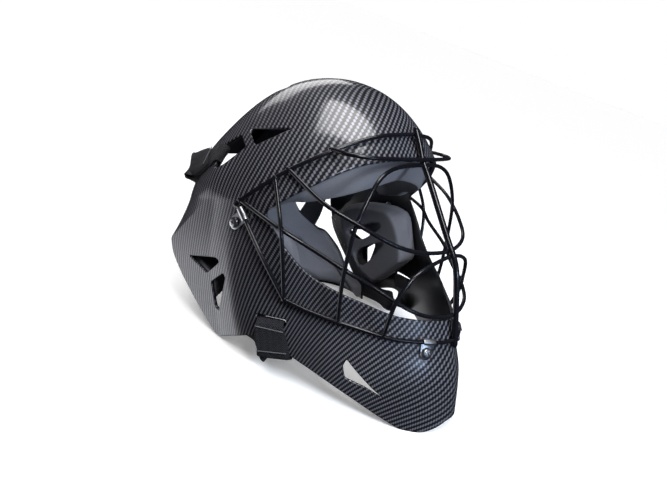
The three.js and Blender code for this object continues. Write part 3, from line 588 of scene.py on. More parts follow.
def build_shell():
    """Points, normals, faces and paints (0 film, 1 inside) of the whole shell."""
    rims = drawn_in_rims()
    loop, face_start = half_outline(rims[0][0], rims[1][0])
    holes = [rim[0] for rim in rims[2:]]
    params, tris = half_surface(loop, holes)
    outer, normal = outer_skin(params, loop)
    cross = np.cross(outer[tris[:, 1]] - outer[tris[:, 0]], outer[tris[:, 2]] - outer[tris[:, 0]])
    flip = (cross * normal[tris].mean(1)).sum(1) < 0
    tris[flip] = tris[flip][:, ::-1]
    count = len(params)
    points, normals = [outer, outer - normal * WALL], [normal, -normal]
    faces = [tuple(t) for t in tris] + [tuple(t[::-1] + count) for t in tris]
    paints = [0] * len(tris) + [1] * len(tris)
    # rounded rims between the two skins
    starts = [0, face_start] + list(len(loop) + np.cumsum([0] + [len(h) for h in holes[:-1]]))
    top = 2 * count
    for (edge, into, closed, left), start in zip(rims, starts):
        m = len(edge)
        run = np.arange(start, start + m)
        rows = [run]
        for spot, facing in rim_rows(outer[run], normal[run], into, closed):
            points.append(spot)
            normals.append(facing)
            rows.append(np.arange(top, top + m))
            top += m
        rows.append(run + count)
        for r in range(len(rows) - 1):
            for i in range(m if closed else m - 1):
                j = (i + 1) % m
                quad = (rows[r][i], rows[r][j], rows[r + 1][j], rows[r + 1][i])
                faces.append(quad if left else quad[::-1])
                paints.append(0 if r < 3 else 1)
    points, normals = np.vstack(points), np.vstack(normals)
    # the rim quads face away from the material
    for k in range(2 * len(tris), len(faces)):
        f = faces[k]
        c = np.cross(points[f[1]] - points[f[0]], points[f[2]] - points[f[1]])
        faces[k] = f if c @ normals[list(f)].mean(0) > 0 else f[::-1]
    # the wearer's left half is its mirror image
    total = len(points)
    on_mid = np.abs(points[:, 0]) < 1e-6
    twin = np.where(on_mid, np.arange(total), np.cumsum(~on_mid) - 1 + total)
    points = np.vstack([points, points[~on_mid] * [-1, 1, 1]])
    normals = np.vstack([normals, normals[~on_mid] * [-1, 1, 1]])
    faces += [tuple(twin[i] for i in f[::-1]) for f in faces]
    return points, normals, faces, paints * 2


def mesh_object(name, points, faces, normals=None):
    """A piece from points in the head frame, with its own smooth normals if they are given."""
    mesh = bpy.data.meshes.new(name)
    mesh.from_pydata(stand(points).tolist(), [], [tuple(int(i) for i in f) for f in faces])
    mesh.validate()
    mesh.polygons.foreach_set("use_smooth", [True] * len(mesh.polygons))
    if normals is not None:
        mesh.normals_split_custom_set_from_vertices(turn(normals).tolist())
    mesh.update()
    piece = bpy.data.objects.new(name, mesh)
    bpy.context.collection.objects.link(piece)
    return piece


shell_points, shell_normals, shell_faces, shell_paints = build_shell()
shell = mesh_object("carbon_shell", shell_points, shell_faces, shell_normals)


# The film is a 2/2 twill, stretched as it is laid on: its bands stand almost upright on the
# crown, lie over towards the chin, and draw together over the ear.  It runs round the face
# in one piece, and its two ends meet in a seam from the top of the crown down the back.
FILM_LAY = {      # height: places from front to rear as (how far back, slope of the bands, spacing);
                  # a slope of 90 degrees is upright, and less than that climbs forward
    140: [(-10, 105, 4.6), (20, 110, 4.8)],
    120: [(-50, 100, 3.8), (-30, 95, 4.5), (10, 105, 5.0), (30, 110, 5.2), (70, 105, 4.6)],
    100: [(-50, 90, 4.3), (-10, 85, 4.6), (60, 100, 4.3)],
    80: [(-50, 75, 4.1), (10, 75, 4.3), (95, 95, 4.0)],
    60: [(-30, 65, 3.9), (-10, 70, 4.1), (30, 70, 4.4)],
    30: [(20, 65, 3.6), (70, 80, 3.2), (95, 85, 3.4)],
    0: [(-10, 60, 3.2), (100, 85, 3.2)],
    -20: [(-50, 60, 3.2), (30, 65, 3.0), (80, 75, 3.0)],
    -40: [(-10, 60, 3.0), (55, 70, 2.8)],
    -60: [(-70, 50, 3.5), (-30, 60, 3.1), (30, 65, 2.6)],
    -80: [(-90, 40, 3.8), (-50, 50, 3.1)],
    -120: [(-90, 35, 3.7)]}
TURN_AT, TURN_STRETCH = 112, 0.62   # it turns the corner to the front inside this half width
CROWN_STRETCH = 0.35                # how far it stretches over the roundness of the crown
SIDE_FOOT = fan_length[np.searchsorted(fan_z, 0)]
BAND = 4 / math.sqrt(2)             # one band, in threads across it
CLEAR = 200                         # threads added to keep every place on the film positive
DEGREE, CALM = 4, 0.0005            # of the fitted surface, and what keeps it from swinging


def laid_out(spots):
    """Distance forward round the shell and height up it, for points of the right side."""
    x, y, z = np.abs(spots[..., 0]), spots[..., 1], spots[..., 2]
    forward = -y + np.maximum(TURN_AT - x, 0) * TURN_STRETCH * smooth_step(-y, -30, 40)
    bend = np.interp(z, fan_z, fan_length) - SIDE_FOOT - z
    height = z + CROWN_STRETCH * bend * (z > DOME_FROM)
    return forward / 100, height / 100


TERMS = [(i, j) for i in range(DEGREE + 1) for j in range(DEGREE + 1) if 0 < i + j <= DEGREE]


def terms(f, u, di=0, dj=0):
    """The terms of a smooth surface over the shell, or their slopes forward or up."""
    if di:
        return np.stack([i * f ** max(i - 1, 0) * u ** j for i, j in TERMS], -1)
    if dj:
        return np.stack([j * f ** i * u ** max(j - 1, 0) for i, j in TERMS], -1)
    return np.stack([f ** i * u ** j for i, j in TERMS], -1)


def film_surface(turned_by):
    """Fits the smooth surface whose slopes follow FILM_LAY, turned by this angle."""
    rows, wanted = [], []
    for z, y, slope, gap in [(z, *place) for z, places in FILM_LAY.items() for place in places]:
        here = side(float(y), float(z))
        f, u = laid_out(here)
        for dy, dz in ((1.0, 0.0), (0.0, 1.0)):
            f2, u2 = laid_out(side(y + dy, z + dz))
            rows.append(terms(f, u, di=1) * (f2 - f) + terms(f, u, dj=1) * (u2 - u))
            a = math.radians(slope) + turned_by
            wanted.append((-math.sin(a) if dy else -math.cos(a)) / gap)
    calm = np.diag([CALM * (i + j) ** 2 for i, j in TERMS])
    return np.linalg.lstsq(np.vstack(rows + [calm]), np.array(wanted + [0.0] * len(TERMS)), rcond=None)[0]


across_bands, along_bands = film_surface(0.0), film_surface(math.pi / 2)
front_z = np.linspace(-172, DOME_TOP - 0.01, 400)
front_line = skin_at(np.zeros(400), front_z)


def twill_places(spots, left):
    """Where each point of the shell falls on the flat film, in threads."""
    f, u = laid_out(spots)
    middle = np.interp(spots[:, 2], front_z, laid_out(front_line)[0])
    places = []
    for shape in (across_bands, along_bands):
        here, front = terms(f, u) @ shape, terms(middle, u) @ shape
        places.append(np.where(left, 2 * front - here, here) * BAND)
    p, q = places
    return np.stack([p + q, q - p], 1) / math.sqrt(2) + CLEAR


film = shell.data.uv_layers.new(name="film")
corner = np.empty(len(shell.data.loops), int)
shell.data.loops.foreach_get("vertex_index", corner)
on_left = np.concatenate([[np.mean(shell_points[list(polygon.vertices), 0]) > 0] * len(polygon.vertices)
                          for polygon in shell.data.polygons])
film.data.foreach_set("uv", twill_places(shell_points[corner], on_left).ravel())
for polygon, paint in zip(shell.data.polygons, shell_paints):
    polygon.material_index = paint


def new_material(name, **sockets):
    """A Principled material with these socket values, its node tree and its shader."""
    material = bpy.data.materials.new(name)
    material.use_nodes = True
    shader = material.node_tree.nodes["Principled BSDF"]
    for socket, value in sockets.items():
        shader.inputs[socket.replace("_", " ")].default_value = value
    return material, material.node_tree, shader


def wire_up(tree, kind, operation=None, inputs=()):
    """One node with its inputs set to numbers or joined to other sockets."""
    node = tree.nodes.new("ShaderNode" + kind)
    if operation:
        node.operation = operation
    for i, value in enumerate(inputs):
        if isinstance(value, bpy.types.NodeSocket):
            tree.links.new(value, node.inputs[i])
        else:
            node.inputs[i].default_value = value
    return node


def math_node(tree, operation, *inputs):
    return wire_up(tree, "Math", operation, inputs).outputs[0]


def colour_mix(tree, share, low, high):
    """From one colour to another as share goes from 0 to 1."""
    node = tree.nodes.new("ShaderNodeMix")
    node.data_type = "RGBA"
    for socket, value in ((node.inputs[0], share), (node.inputs[6], low), (node.inputs[7], high)):
        if isinstance(value, bpy.types.NodeSocket):
            tree.links.new(value, socket)
        else:
            socket.default_value = value
    return node.outputs[2]


def object_places(tree):
    return tree.nodes.new("ShaderNodeTexCoord").outputs["Object"]


def grain(tree, scale, detail):
    """Cloudy noise, 0 to 1; scale is how many clouds there are to a metre."""
    node = wire_up(tree, "TexNoise", inputs=(object_places(tree),))
    node.inputs["Scale"].default_value = scale
    node.inputs["Detail"].default_value = detail
    return node.outputs["Fac"]


def bumped(tree, shader, height, strength, distance):
    bump = tree.nodes.new("ShaderNodeBump")
    bump.inputs["Strength"].default_value = strength
    bump.inputs["Distance"].default_value = distance
    tree.links.new(height, bump.inputs["Height"])
    tree.links.new(bump.outputs[0], shader.inputs["Normal"])


def woven_places(tree, layer):
    """The two places along a piece's own cloth or film, from its named layer."""
    places = tree.nodes.new("ShaderNodeUVMap")
    places.uv_map = layer
    return wire_up(tree, "SeparateXYZ", inputs=(places.outputs[0],)).outputs[:2]


def carbon_film():
    """A 2/2 twill of light and dark threads under clear coat."""
    film_material, tree, shader = new_material("carbon_film", Specular_IOR_Level=0.25, Coat_Weight=1.0,
                                               Coat_Roughness=0.12, Coat_IOR=1.5)
    i, j = woven_places(tree, "film")
    step = math_node(tree, "SUBTRACT", math_node(tree, "FLOOR", i), math_node(tree, "FLOOR", j))
    phase = math_node(tree, "FLOORED_MODULO", step, 4.0)
    light_thread = math_node(tree, "LESS_THAN", phase, 1.5)
    # the printed film has light and dark threads; each thread is also painted darker towards its edges and
    # towards both ends of its run on top, painted shade of a round thread dipping under the next
    across_i, across_j = math_node(tree, "FRACT", i), math_node(tree, "FRACT", j)
    ride_i = math_node(tree, "ADD", math_node(tree, "SUBTRACT", 1.0, phase), across_j)
    ride_j = math_node(tree, "ADD", math_node(tree, "SUBTRACT", phase, 2.0), across_i)

    def round_thread_shade(place, length, depth):
        off = math_node(tree, "SUBTRACT", math_node(tree, "DIVIDE", place, length), 0.5)
        square = math_node(tree, "MULTIPLY", off, off)
        return math_node(tree, "SUBTRACT", 1.0, math_node(tree, "MULTIPLY", square, depth))

    cloud = grain(tree, 14, 2)
    light_thread_shade = math_node(tree, "MULTIPLY", round_thread_shade(across_i, 1.0, 3.0), round_thread_shade(ride_i, 2.0, 2.6))
    dark_thread_shade = math_node(tree, "MULTIPLY", round_thread_shade(across_j, 1.0, 3.0), round_thread_shade(ride_j, 2.0, 2.0))
    tone = math_node(tree, "MULTIPLY", light_thread_shade, math_node(tree, "MULTIPLY_ADD", cloud, 0.5, 0.75))
    light = colour_mix(tree, tone, (0.012, 0.012, 0.015, 1), (0.31, 0.31, 0.35, 1))
    dark = colour_mix(tree, dark_thread_shade, (0.002, 0.002, 0.003, 1), (0.009, 0.009, 0.013, 1))
    tree.links.new(colour_mix(tree, light_thread, dark, light), shader.inputs["Base Color"])
    tree.links.new(math_node(tree, "MULTIPLY", light_thread, 0.35), shader.inputs["Metallic"])
    tree.links.new(math_node(tree, "MULTIPLY_ADD", cloud, 0.12, 0.36), shader.inputs["Roughness"])
    bumped(tree, shader, grain(tree, 90, 2), 0.02, 0.0005)
    return film_material


def inside_paint():
    paint, tree, shader = new_material("inside_black_paint", Roughness=0.3,
                                       Coat_Weight=0.3, Coat_Roughness=0.2)
    cloth = grain(tree, 900, 2)
    tree.links.new(colour_mix(tree, cloth, (0.006, 0.006, 0.007, 1), (0.016, 0.016, 0.019, 1)),
                   shader.inputs["Base Color"])
    bumped(tree, shader, cloth, 0.25, 0.0004)
    return paint


shell.data.materials.append(carbon_film())
shell.data.materials.append(inside_paint())
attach(shell, "root")
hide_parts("shell")


# ---------------------------------------------------------------- cage
# Steel wire, 3.6 mm, bent cold and welded wherever two wires cross, with a thicker bar
# down the middle; then powder-coated in gloss black.  One frame wire follows the face
# opening just off the shell, and four clips hold it there.
WIRE_R, BAR_R, CLIP_T, GAP, CLIP_W = 1.8, 2.8, 1.0, 0.35, 12
STANDOFF = WIRE_R + CLIP_T + 2 * GAP
TEMPLE_REACH, CHIN_REACH = 13.2, 9.6


def clip_frame(at, n, along, reach):
    """Where a clip sits: n off the shell, y from its screw to the wire, w along the wire."""
    y = np.cross(n, along)
    y /= np.linalg.norm(y)
    w = np.cross(y, n)
    return {"at": at, "n": n, "y": y, "w": w / np.linalg.norm(w), "reach": reach,
            "wire": at + y * reach + n * STANDOFF}


temple_at, temple_n = side(TEMPLE_Y, TEMPLE_Z), outward(TEMPLE_Y, TEMPLE_Z)
temple_along = side(6, 31) - side(15, 44)
temple_clip = clip_frame(temple_at, temple_n, temple_along, TEMPLE_REACH)
if temple_clip["y"][1] > 0:
    temple_clip = clip_frame(temple_at, temple_n, -temple_along, TEMPLE_REACH)
chin_at, chin_n = face(CHIN_X, CHIN_Z), chin_normal()
chin_along = face(-18, -72.5) - face(-38, -69)
chin_clip = clip_frame(chin_at, chin_n, chin_along, CHIN_REACH)
if chin_clip["y"][2] < 0:
    chin_clip = clip_frame(chin_at, chin_n, -chin_along, CHIN_REACH)


def straight_run(clip, start):
    """The straight bit of frame wire inside a clip, from the end nearer to start."""
    ends = [clip["wire"] + clip["w"] * k * (CLIP_W / 2 + 2.2) for k in (-1, 1)]
    return ends if np.linalg.norm(ends[0] - start) < np.linalg.norm(ends[1] - start) else ends[::-1]


def frame_wire():
    """The closed frame wire, and its place beside the cheek where the upright bars end."""
    top = [face(x, z, STANDOFF) for x, z in [(0, 105), (-41, 102), (-66, 95), (-88, 84.5)]]
    top += [side(y, z, STANDOFF) for y, z in [(-21, 73.5), (-1, 60), (14, 51), (21.5, 46)]]
    low = [side(y, z, STANDOFF)
           for y, z in [(-19, -30.5), (-34, -39), (-53, -48), (-71, -56), (-91, -65.5)]]
    chin = [face(-14, -73.2, STANDOFF), face(-1e-3, -74, STANDOFF)]
    top[0][0] = chin[1][0] = 0
    t, c = straight_run(temple_clip, top[-1]), straight_run(chin_clip, low[-1])
    runs = [through(top, 10), np.array([top[-1], t[0]]), np.array(t),
            through([t[1], side(-5, 7, STANDOFF + 0.4), low[0]], 8), through(low + [c[0]], 8),
            np.array(c), through([c[1]] + chin, 6)]
    line = np.vstack([r if k == 0 else r[1:] for k, r in enumerate(runs)])
    line = eased(evenly(line, 1.6), 2)
    return np.vstack([line, (line * [-1, 1, 1])[::-1][1:-1]]), low[0]


def crossing_wire(points):
    """A wire from the wearer's right to the middle, carried on as its mirror image."""
    return evenly(through([np.asarray(p, float) for p in points]
                          + [np.asarray(p, float) * [-1, 1, 1] for p in points[-2::-1]], 10), 1.8)


def ring_faces(rings, sides, closed=False):
    """Faces between rings of equal length that follow one another."""
    faces = []
    for r in range(rings if closed else rings - 1):
        low, high = r * sides, (r + 1) % rings * sides
        faces += [(low + i, low + (i + 1) % sides, high + (i + 1) % sides, high + i) for i in range(sides)]
    return faces


def end_caps(rings, sides):
    return [tuple(range(sides))[::-1], tuple(range((rings - 1) * sides, rings * sides))]


def wire_mesh(line, radius, closed=False, sides=14):
    """A round bar along a line, with domed ends if it is open."""
    if closed:
        run = np.roll(line, -1, 0) - np.roll(line, 1, 0)
    else:
        run = np.gradient(line, axis=0)
    run /= np.linalg.norm(run, axis=1, keepdims=True)
    up = np.cross(run[0], [0.3, 0.2, 0.9])
    up /= np.linalg.norm(up)
    frames = []
    for t in run:
        up = up - t * (up @ t)
        up /= np.linalg.norm(up)
        frames.append((up, np.cross(t, up)))
    twist = 0.0
    if closed:                    # the turning that brings the last ring back to the first
        u0, v0 = frames[0]
        last = frames[-1][0] - run[0] * (frames[-1][0] @ run[0])
        twist = math.atan2(last @ v0, last @ u0)
    rings = []
    angle = np.arange(sides) / sides * 2 * math.pi
    for k, (centre, (u, v)) in enumerate(zip(line, frames)):
        a = angle - twist * k / len(line)
        rings.append(centre + radius * (np.cos(a)[:, None] * u + np.sin(a)[:, None] * v))
    if not closed:
        for end, sign in ((0, -1), (-1, 1)):
            u, v = frames[end]
            caps = [line[end] + run[end] * sign * radius * math.sin(t) + radius * math.cos(t)
                    * (np.cos(angle)[:, None] * u + np.sin(angle)[:, None] * v) for t in (0.5, 1.0, 1.45)]
            rings = caps[::-1] + rings if end == 0 else rings + caps
    caps = [] if closed else end_caps(len(rings), sides)
    return np.vstack(rings), ring_faces(len(rings), sides, closed) + caps


def joined(name, parts):
    """One piece from several closed bodies given as points and faces."""
    points, faces, first = [], [], 0
    for p, f in parts:
        points.append(p)
        faces += [tuple(i + first for i in corners) for corners in f]
        first += len(p)
    return mesh_object(name, np.vstack(points), faces)


def weld_bead(at, along, other, radius):
    """A small smooth fillet where two wires touch, stretched along both."""
    e1 = along / np.linalg.norm(along)
    e3 = np.cross(along, other)
    e3 = e3 / np.linalg.norm(e3) if np.linalg.norm(e3) > 0.2 else np.cross(e1, [0.1, 0.9, 0.4])
    e3 /= np.linalg.norm(e3)
    e2 = np.cross(e3, e1)
    points, faces = [], []
    rows, cols = 7, 12
    for r in range(rows):
        t = math.pi * (r + 0.5) / rows
        for c in range(cols):
            b = 2 * math.pi * c / cols
            sideways = (e1 * math.cos(b) + e2 * math.sin(b)) * 1.35
            points.append(at + radius * (e3 * math.cos(t) + math.sin(t) * sideways))
    for r in range(rows - 1):
        for c in range(cols):
            d = (c + 1) % cols
            faces.append((r * cols + c, (r + 1) * cols + c, (r + 1) * cols + d, r * cols + d))
    faces += [tuple(range(cols)), tuple(range((rows - 1) * cols, rows * cols))[::-1]]
    return np.array(points), faces


def crossing_places():
    """The five wires across the face, each from the wearer's right to the middle."""
    off = STANDOFF
    visor = [side(-46, 91, off), (-80, -66, 88.5), (-67, -79, 85.8), (-44, -87, 84.8), (0, -90.4, 84.3)]
    tall_arch = [side(-56, -49.5, off), (-88, -63, -28), (-88.5, -67.4, -6), (-84, -75.5, 31),
                 (-76.5, -79.3, 48), (-61, -82.3, 68), (-43, -84, 76.5), (0, -88.2, 79.6)]
    upper_smile = [side(-23, 75, off), (-101, -58, 50), (-85, -78.4, 34), (-70, -92.5, 21.5),
                   (-57, -101.4, 14), (-38, -108.6, 8.3), (0, -114.4, 5)]
    lower_smile = [side(14.5, 51, off), (-116.8, -22, 30.4), (-104.5, -37.5, 17.5), (-86, -67.5, -4.5),
                   (-71, -83, -18), (-59, -98.4, -31), (-50, -107, -38.6), (-36, -115, -45.5),
                   (0, -121.6, -51)]
    mouth_arch = [side(-85, -62.5, off), (-64.5, -97, -42), (-61.5, -101, -29.5), (-53.5, -106.8, -16),
                  (-41, -111.4, -7.5), (0, -117.2, 0.8)]
    return visor, tall_arch, upper_smile, lower_smile, mouth_arch


def weld_beads(wires):
    """A bead at every place where two wires touch."""
    beads = []
    for m, (a, radius, _) in enumerate(wires):
        for b, other_radius, _ in wires[m + 1:]:
            gap = np.linalg.norm(a[:, None] - b[None], axis=2)
            near = gap < radius + other_radius + 1.0
            while near.any():
                i, j = np.unravel_index(np.argmin(np.where(near, gap, 1e9)), gap.shape)
                di = a[min(i + 1, len(a) - 1)] - a[max(i - 1, 0)]
                dj = b[min(j + 1, len(b) - 1)] - b[max(j - 1, 0)]
                beads.append(weld_bead((a[i] + b[j]) / 2, di / np.linalg.norm(di), dj / np.linalg.norm(dj),
                                       WIRE_R * 1.12))
                near &= np.linalg.norm(a - a[i], axis=1)[:, None] > 14
    return beads


def build_cage():
    frame_line, heel = frame_wire()
    upright = evenly(through([side(-14, 68.5, STANDOFF), (-116.5, -25, 27), heel], 12), 1.8)
    bar = evenly(through([(0, -79.4, 111), (0, -84, 96), (0, -87, 84), (0, -94.5, 66), (0, -113.2, 17.3),
                          (0, -120.8, -1.8), (0, -123.2, -14), (0, -124, -60), (0, -124, -78)], 12), 1.8)
    wires = [(frame_line, WIRE_R, True), (upright, WIRE_R, False), (upright * [-1, 1, 1], WIRE_R, False)]
    wires += [(crossing_wire(places), WIRE_R, False) for places in crossing_places()]
    wires.append((bar, BAR_R, False))
    parts = [wire_mesh(line, r, closed, 18 if r == BAR_R else 14) for line, r, closed in wires]
    return joined("wire_cage", parts + weld_beads(wires))


def powder_coat():
    coat, tree, shader = new_material("gloss_black_powder_coat", Coat_Weight=0.4, Coat_Roughness=0.10)
    speck = grain(tree, 420, 2)
    tree.links.new(colour_mix(tree, grain(tree, 25, 2), (0.004, 0.004, 0.006, 1), (0.010, 0.010, 0.014, 1)),
                   shader.inputs["Base Color"])
    tree.links.new(math_node(tree, "MULTIPLY_ADD", speck, 0.14, 0.14), shader.inputs["Roughness"])
    bumped(tree, shader, speck, 0.12, 0.0002)
    return coat


cage = build_cage()
cage.data.materials.append(powder_coat())
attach(cage, "root")
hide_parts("cage")


# ---------------------------------------------------------------- cage clips
# Four strips of 1 mm zinc-plated steel, 12 mm wide.  Each has a flat tongue with a round
# end under its screw, and is rolled round the frame wire, which can turn in it.
def mirror_of(name, piece):
    """The same piece for the wearer's left side, built as its mirror image."""
    mesh = piece.data.copy()
    mesh.name = name
    mesh.transform(Matrix.Scale(-1, 4, (1, 0, 0)))
    mesh.flip_normals()
    twin = bpy.data.objects.new(name, mesh)
    bpy.context.collection.objects.link(twin)
    return twin


def settled(piece, *modifiers):
    """Adds modifiers given as (kind, settings), and keeps their result as the piece's mesh."""
    for kind, settings in modifiers:
        modifier = piece.modifiers.new(kind.lower(), kind)
        for key, value in settings.items():
            setattr(modifier, key, value)
    bpy.context.view_layer.update()
    result = bpy.data.meshes.new_from_object(piece.evaluated_get(bpy.context.evaluated_depsgraph_get()))
    old = piece.data
    piece.modifiers.clear()
    piece.data = result
    result.name = piece.name
    bpy.data.meshes.remove(old)
    result.polygons.foreach_set("use_smooth", [True] * len(result.polygons))
    return piece


def sharp_above(piece, degrees):
    """Edges that turn more than this stay crisp, and the rest shade smooth."""
    bm = bmesh.new()
    bm.from_mesh(piece.data)
    for edge in bm.edges:
        edge.smooth = len(edge.link_faces) != 2 or edge.calc_face_angle(0) < math.radians(degrees)
    bm.to_mesh(piece.data)
    bm.free()


def clip_mesh(f):
    """The bent strip: a tongue with a round end, then most of a turn round the wire."""
    outer = WIRE_R + GAP + CLIP_T
    along = [-CLIP_W / 2 * math.cos(t) for t in np.linspace(0.16, math.pi / 2, 8)]
    along += list(np.linspace(1.5, f["reach"], 6))
    # how far along, how high, which way the strip's back faces, and half its width
    rows = [(y, GAP, 0.0, 1.0, math.sqrt(max((CLIP_W / 2) ** 2 - min(y, 0) ** 2, 0))) for y in along]
    centre = GAP + outer
    for t in np.linspace(0, 1.24 * math.pi, 22)[1:]:
        a = -math.pi / 2 + t
        rows.append((f["reach"] + outer * math.cos(a), centre + outer * math.sin(a),
                     -math.cos(a), -math.sin(a), CLIP_W / 2))
    points = []
    for y, h, ny, nh, half in rows:
        for w in (-half, half):
            for t in (0.0, CLIP_T):
                points.append(f["at"] + f["y"] * (y + ny * t) + f["n"] * (h + nh * t) + f["w"] * w)
    n = len(rows)
    faces = []
    for r in range(n - 1):
        a, b = 4 * r, 4 * r + 4
        faces += [(a, b, b + 2, a + 2), (a + 1, a + 3, b + 3, b + 1),
                  (a, a + 1, b + 1, b), (a + 2, b + 2, b + 3, a + 3)]
    faces += [(0, 2, 3, 1), (4 * n - 4, 4 * n - 3, 4 * n - 1, 4 * n - 2)]
    return np.array(points), faces


def zinc_plate():
    zinc, tree, shader = new_material("bright_zinc", Metallic=1.0)
    cloud, fine = grain(tree, 120, 4), grain(tree, 900, 2)
    tree.links.new(colour_mix(tree, cloud, (0.42, 0.43, 0.45, 1), (0.78, 0.79, 0.81, 1)),
                   shader.inputs["Base Color"])
    tree.links.new(math_node(tree, "MULTIPLY_ADD", cloud, 0.25, 0.24), shader.inputs["Roughness"])
    bumped(tree, shader, fine, 0.08, 0.0001)
    return zinc


def outward_faces(piece):
    bm = bmesh.new()
    bm.from_mesh(piece.data)
    bmesh.ops.recalc_face_normals(bm, faces=bm.faces)
    bm.to_mesh(piece.data)
    bm.free()
    return piece


zinc = zinc_plate()
for place, f in (("temple", temple_clip), ("chin", chin_clip)):
    clip = outward_faces(mesh_object(f"rolled_clip_{place}_right", *clip_mesh(f)))
    settled(clip, ("BEVEL", {"width": 0.00022, "segments": 2, "angle_limit": math.radians(50)}))
    sharp_above(clip, 40)
    clip.data.materials.append(zinc)
    for hand, piece in (("right", clip), ("left", mirror_of(f"rolled_clip_{place}_left", clip))):
        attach(piece, "root")
        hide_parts(f"clip_{place}_{hand}")


# ---------------------------------------------------------------- screws
# Pan-head machine screws with a cross recess, zinc-plated like the clips.  Each goes
# through the clip's tongue and the shell into a hexagon nut on the inside.
HEAD_R, HEAD_H, SHANK_R, NUT_R, NUT_H = 4.7, 2.7, 2.3, 4.2, 2.5
RECESS_LONG, RECESS_WIDE, RECESS_DEEP = 5.0, 1.0, 1.7


def turned(profile, sides):
    """A body turned on a lathe: profile is (radius, height) from one end to the other."""
    angle = np.arange(sides) / sides * 2 * math.pi
    points = [np.array([(r * math.cos(a), r * math.sin(a), h) for a in angle]) for r, h in profile]
    return np.vstack(points), ring_faces(len(profile), sides) + end_caps(len(profile), sides)


def cut_out(piece, cutter):
    """Takes the cutter's shape out of the piece, and the cutter away."""
    settled(piece, ("BOOLEAN", {"operation": "DIFFERENCE", "object": cutter, "solver": "EXACT"}))
    bpy.data.objects.remove(cutter)


def screw_piece(name, f):
    """Head, shank and nut on the clip's screw hole, as one piece."""
    seat, nut_high = 2 * GAP + CLIP_T, -WALL - 2 * GAP
    nut_low = nut_high - NUT_H
    dome = [(HEAD_R * math.cos(t) ** 0.55, seat + 0.75 + (HEAD_H - 0.75) * math.sin(t))
            for t in np.linspace(0, 1.5, 9)]
    head = [(0.3, seat), (HEAD_R - 0.25, seat), (HEAD_R, seat + 0.25)] + dome
    shank = turned([(SHANK_R, nut_low - 0.7), (SHANK_R, seat + 0.4)], 24)
    nut = turned([(NUT_R - 0.6, nut_low), (NUT_R, nut_low + 0.4), (NUT_R, nut_high - 0.4),
                  (NUT_R - 0.6, nut_high)], 6)
    e1 = f["w"] * math.cos(0.6) + f["y"] * math.sin(0.6)
    e2 = np.cross(f["n"], e1)
    placed = lambda p: f["at"] + p[:, :1] * e1 + p[:, 1:2] * e2 + p[:, 2:] * f["n"]
    points, faces = turned(head, 40)
    head_piece = outward_faces(mesh_object(name, placed(points), faces))
    # the cross recess, narrower towards its bottom
    top, x, y = seat + HEAD_H, RECESS_LONG / 2, RECESS_WIDE / 2
    box = np.array([(px * g, py * g, z) for z, g in ((top - RECESS_DEEP, 0.72), (top + 0.6, 1.0))
                    for px, py in ((-x, -y), (x, -y), (x, y), (-x, y))])
    sides = [(3, 2, 1, 0), (4, 5, 6, 7), (0, 1, 5, 4), (1, 2, 6, 5), (2, 3, 7, 6), (3, 0, 4, 7)]
    for slot in (box, box[:, [1, 0, 2]] * [-1, 1, 1]):
        cut_out(head_piece, outward_faces(mesh_object("recess", placed(slot), sides)))
    body = joined("shank_and_nut", [(placed(points), faces) for points, faces in (shank, nut)])
    outward_faces(body)
    bm = bmesh.new()
    bm.from_mesh(head_piece.data)
    bm.from_mesh(body.data)
    bm.to_mesh(head_piece.data)
    bm.free()
    bpy.data.objects.remove(body)
    head_piece.data.polygons.foreach_set("use_smooth", [True] * len(head_piece.data.polygons))
    sharp_above(head_piece, 38)
    return head_piece


for place, f in (("temple", temple_clip), ("chin", chin_clip)):
    screw = screw_piece(f"pan_head_{place}_right", f)
    screw.data.materials.clear()
    screw.data.materials.append(zinc)
    for hand, piece in (("right", screw), ("left", mirror_of(f"pan_head_{place}_left", screw))):
        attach(piece, "root")
        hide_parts(f"screw_{place}_{hand}")


# ---------------------------------------------------------------- brow pad
# A horseshoe of closed-cell foam, 18 to 24 mm thick, lying in the crown above the face
# opening.  It is hot-cut to the curve of the shell, has a thin lining, and is glued in.
PAD_FRONT, PAD_SIDE, BROW_END = 24, 18, 1.6


def brow_edge(y):
    """Height of the face opening's edge this far back: level, rising to the brow, then level."""
    return 43.0 if y > -9 else 43 + 37 * (-9 - y) / 59 if y > -68 else 80 + 3.5 * min((-68 - y) / 12, 1)


def rounded(ring, times, cut=0.27):
    """A closed outline with its corners cut again and again, by this share of each side."""
    for _ in range(times):
        after = np.roll(ring, -1, 0)
        both = np.stack([ring * (1 - cut) + after * cut, ring * cut + after * (1 - cut)], 1)
        ring = both.reshape(-1, ring.shape[1])
    return ring


def looped(rings):
    """Rings of equal length joined side by side and closed at both ends."""
    n, m = len(rings[0]), len(rings)
    faces = ring_faces(m, n)
    points = np.vstack(list(rings) + [rings[0].mean(0), rings[-1].mean(0)])
    a, b = n * m, n * m + 1
    faces += [(a, (i + 1) % n, i) for i in range(n)]
    faces += [(b, (m - 1) * n + i, (m - 1) * n + (i + 1) % n) for i in range(n)]
    return points, faces


def brow_ring(a):
    """The pad's section at this angle round the head."""
    t = abs(a) / BROW_END
    rim = brow_edge(skin_at(a, 70)[1]) + 3
    low, high = 68 - 23 * min(t * 1.15, 1), 112 - 24 * t
    deep = (PAD_FRONT + (PAD_SIDE - PAD_FRONT) * t) * min(1, 0.45 + (1 - t) * 6)
    o = -WALL - GAP - 0.3
    mid = (rim + high) / 2
    under = min(low, rim - 2)
    spots = [(rim, o), (mid, o), (high, o), (high - 4, -WALL - deep * 0.6),
             ((high + low) / 2, -WALL - deep), (under + 3, -WALL - deep), (under, -WALL - deep + 3)]
    return rounded(np.array([skin(a, z, out) for z, out in spots]), 3)


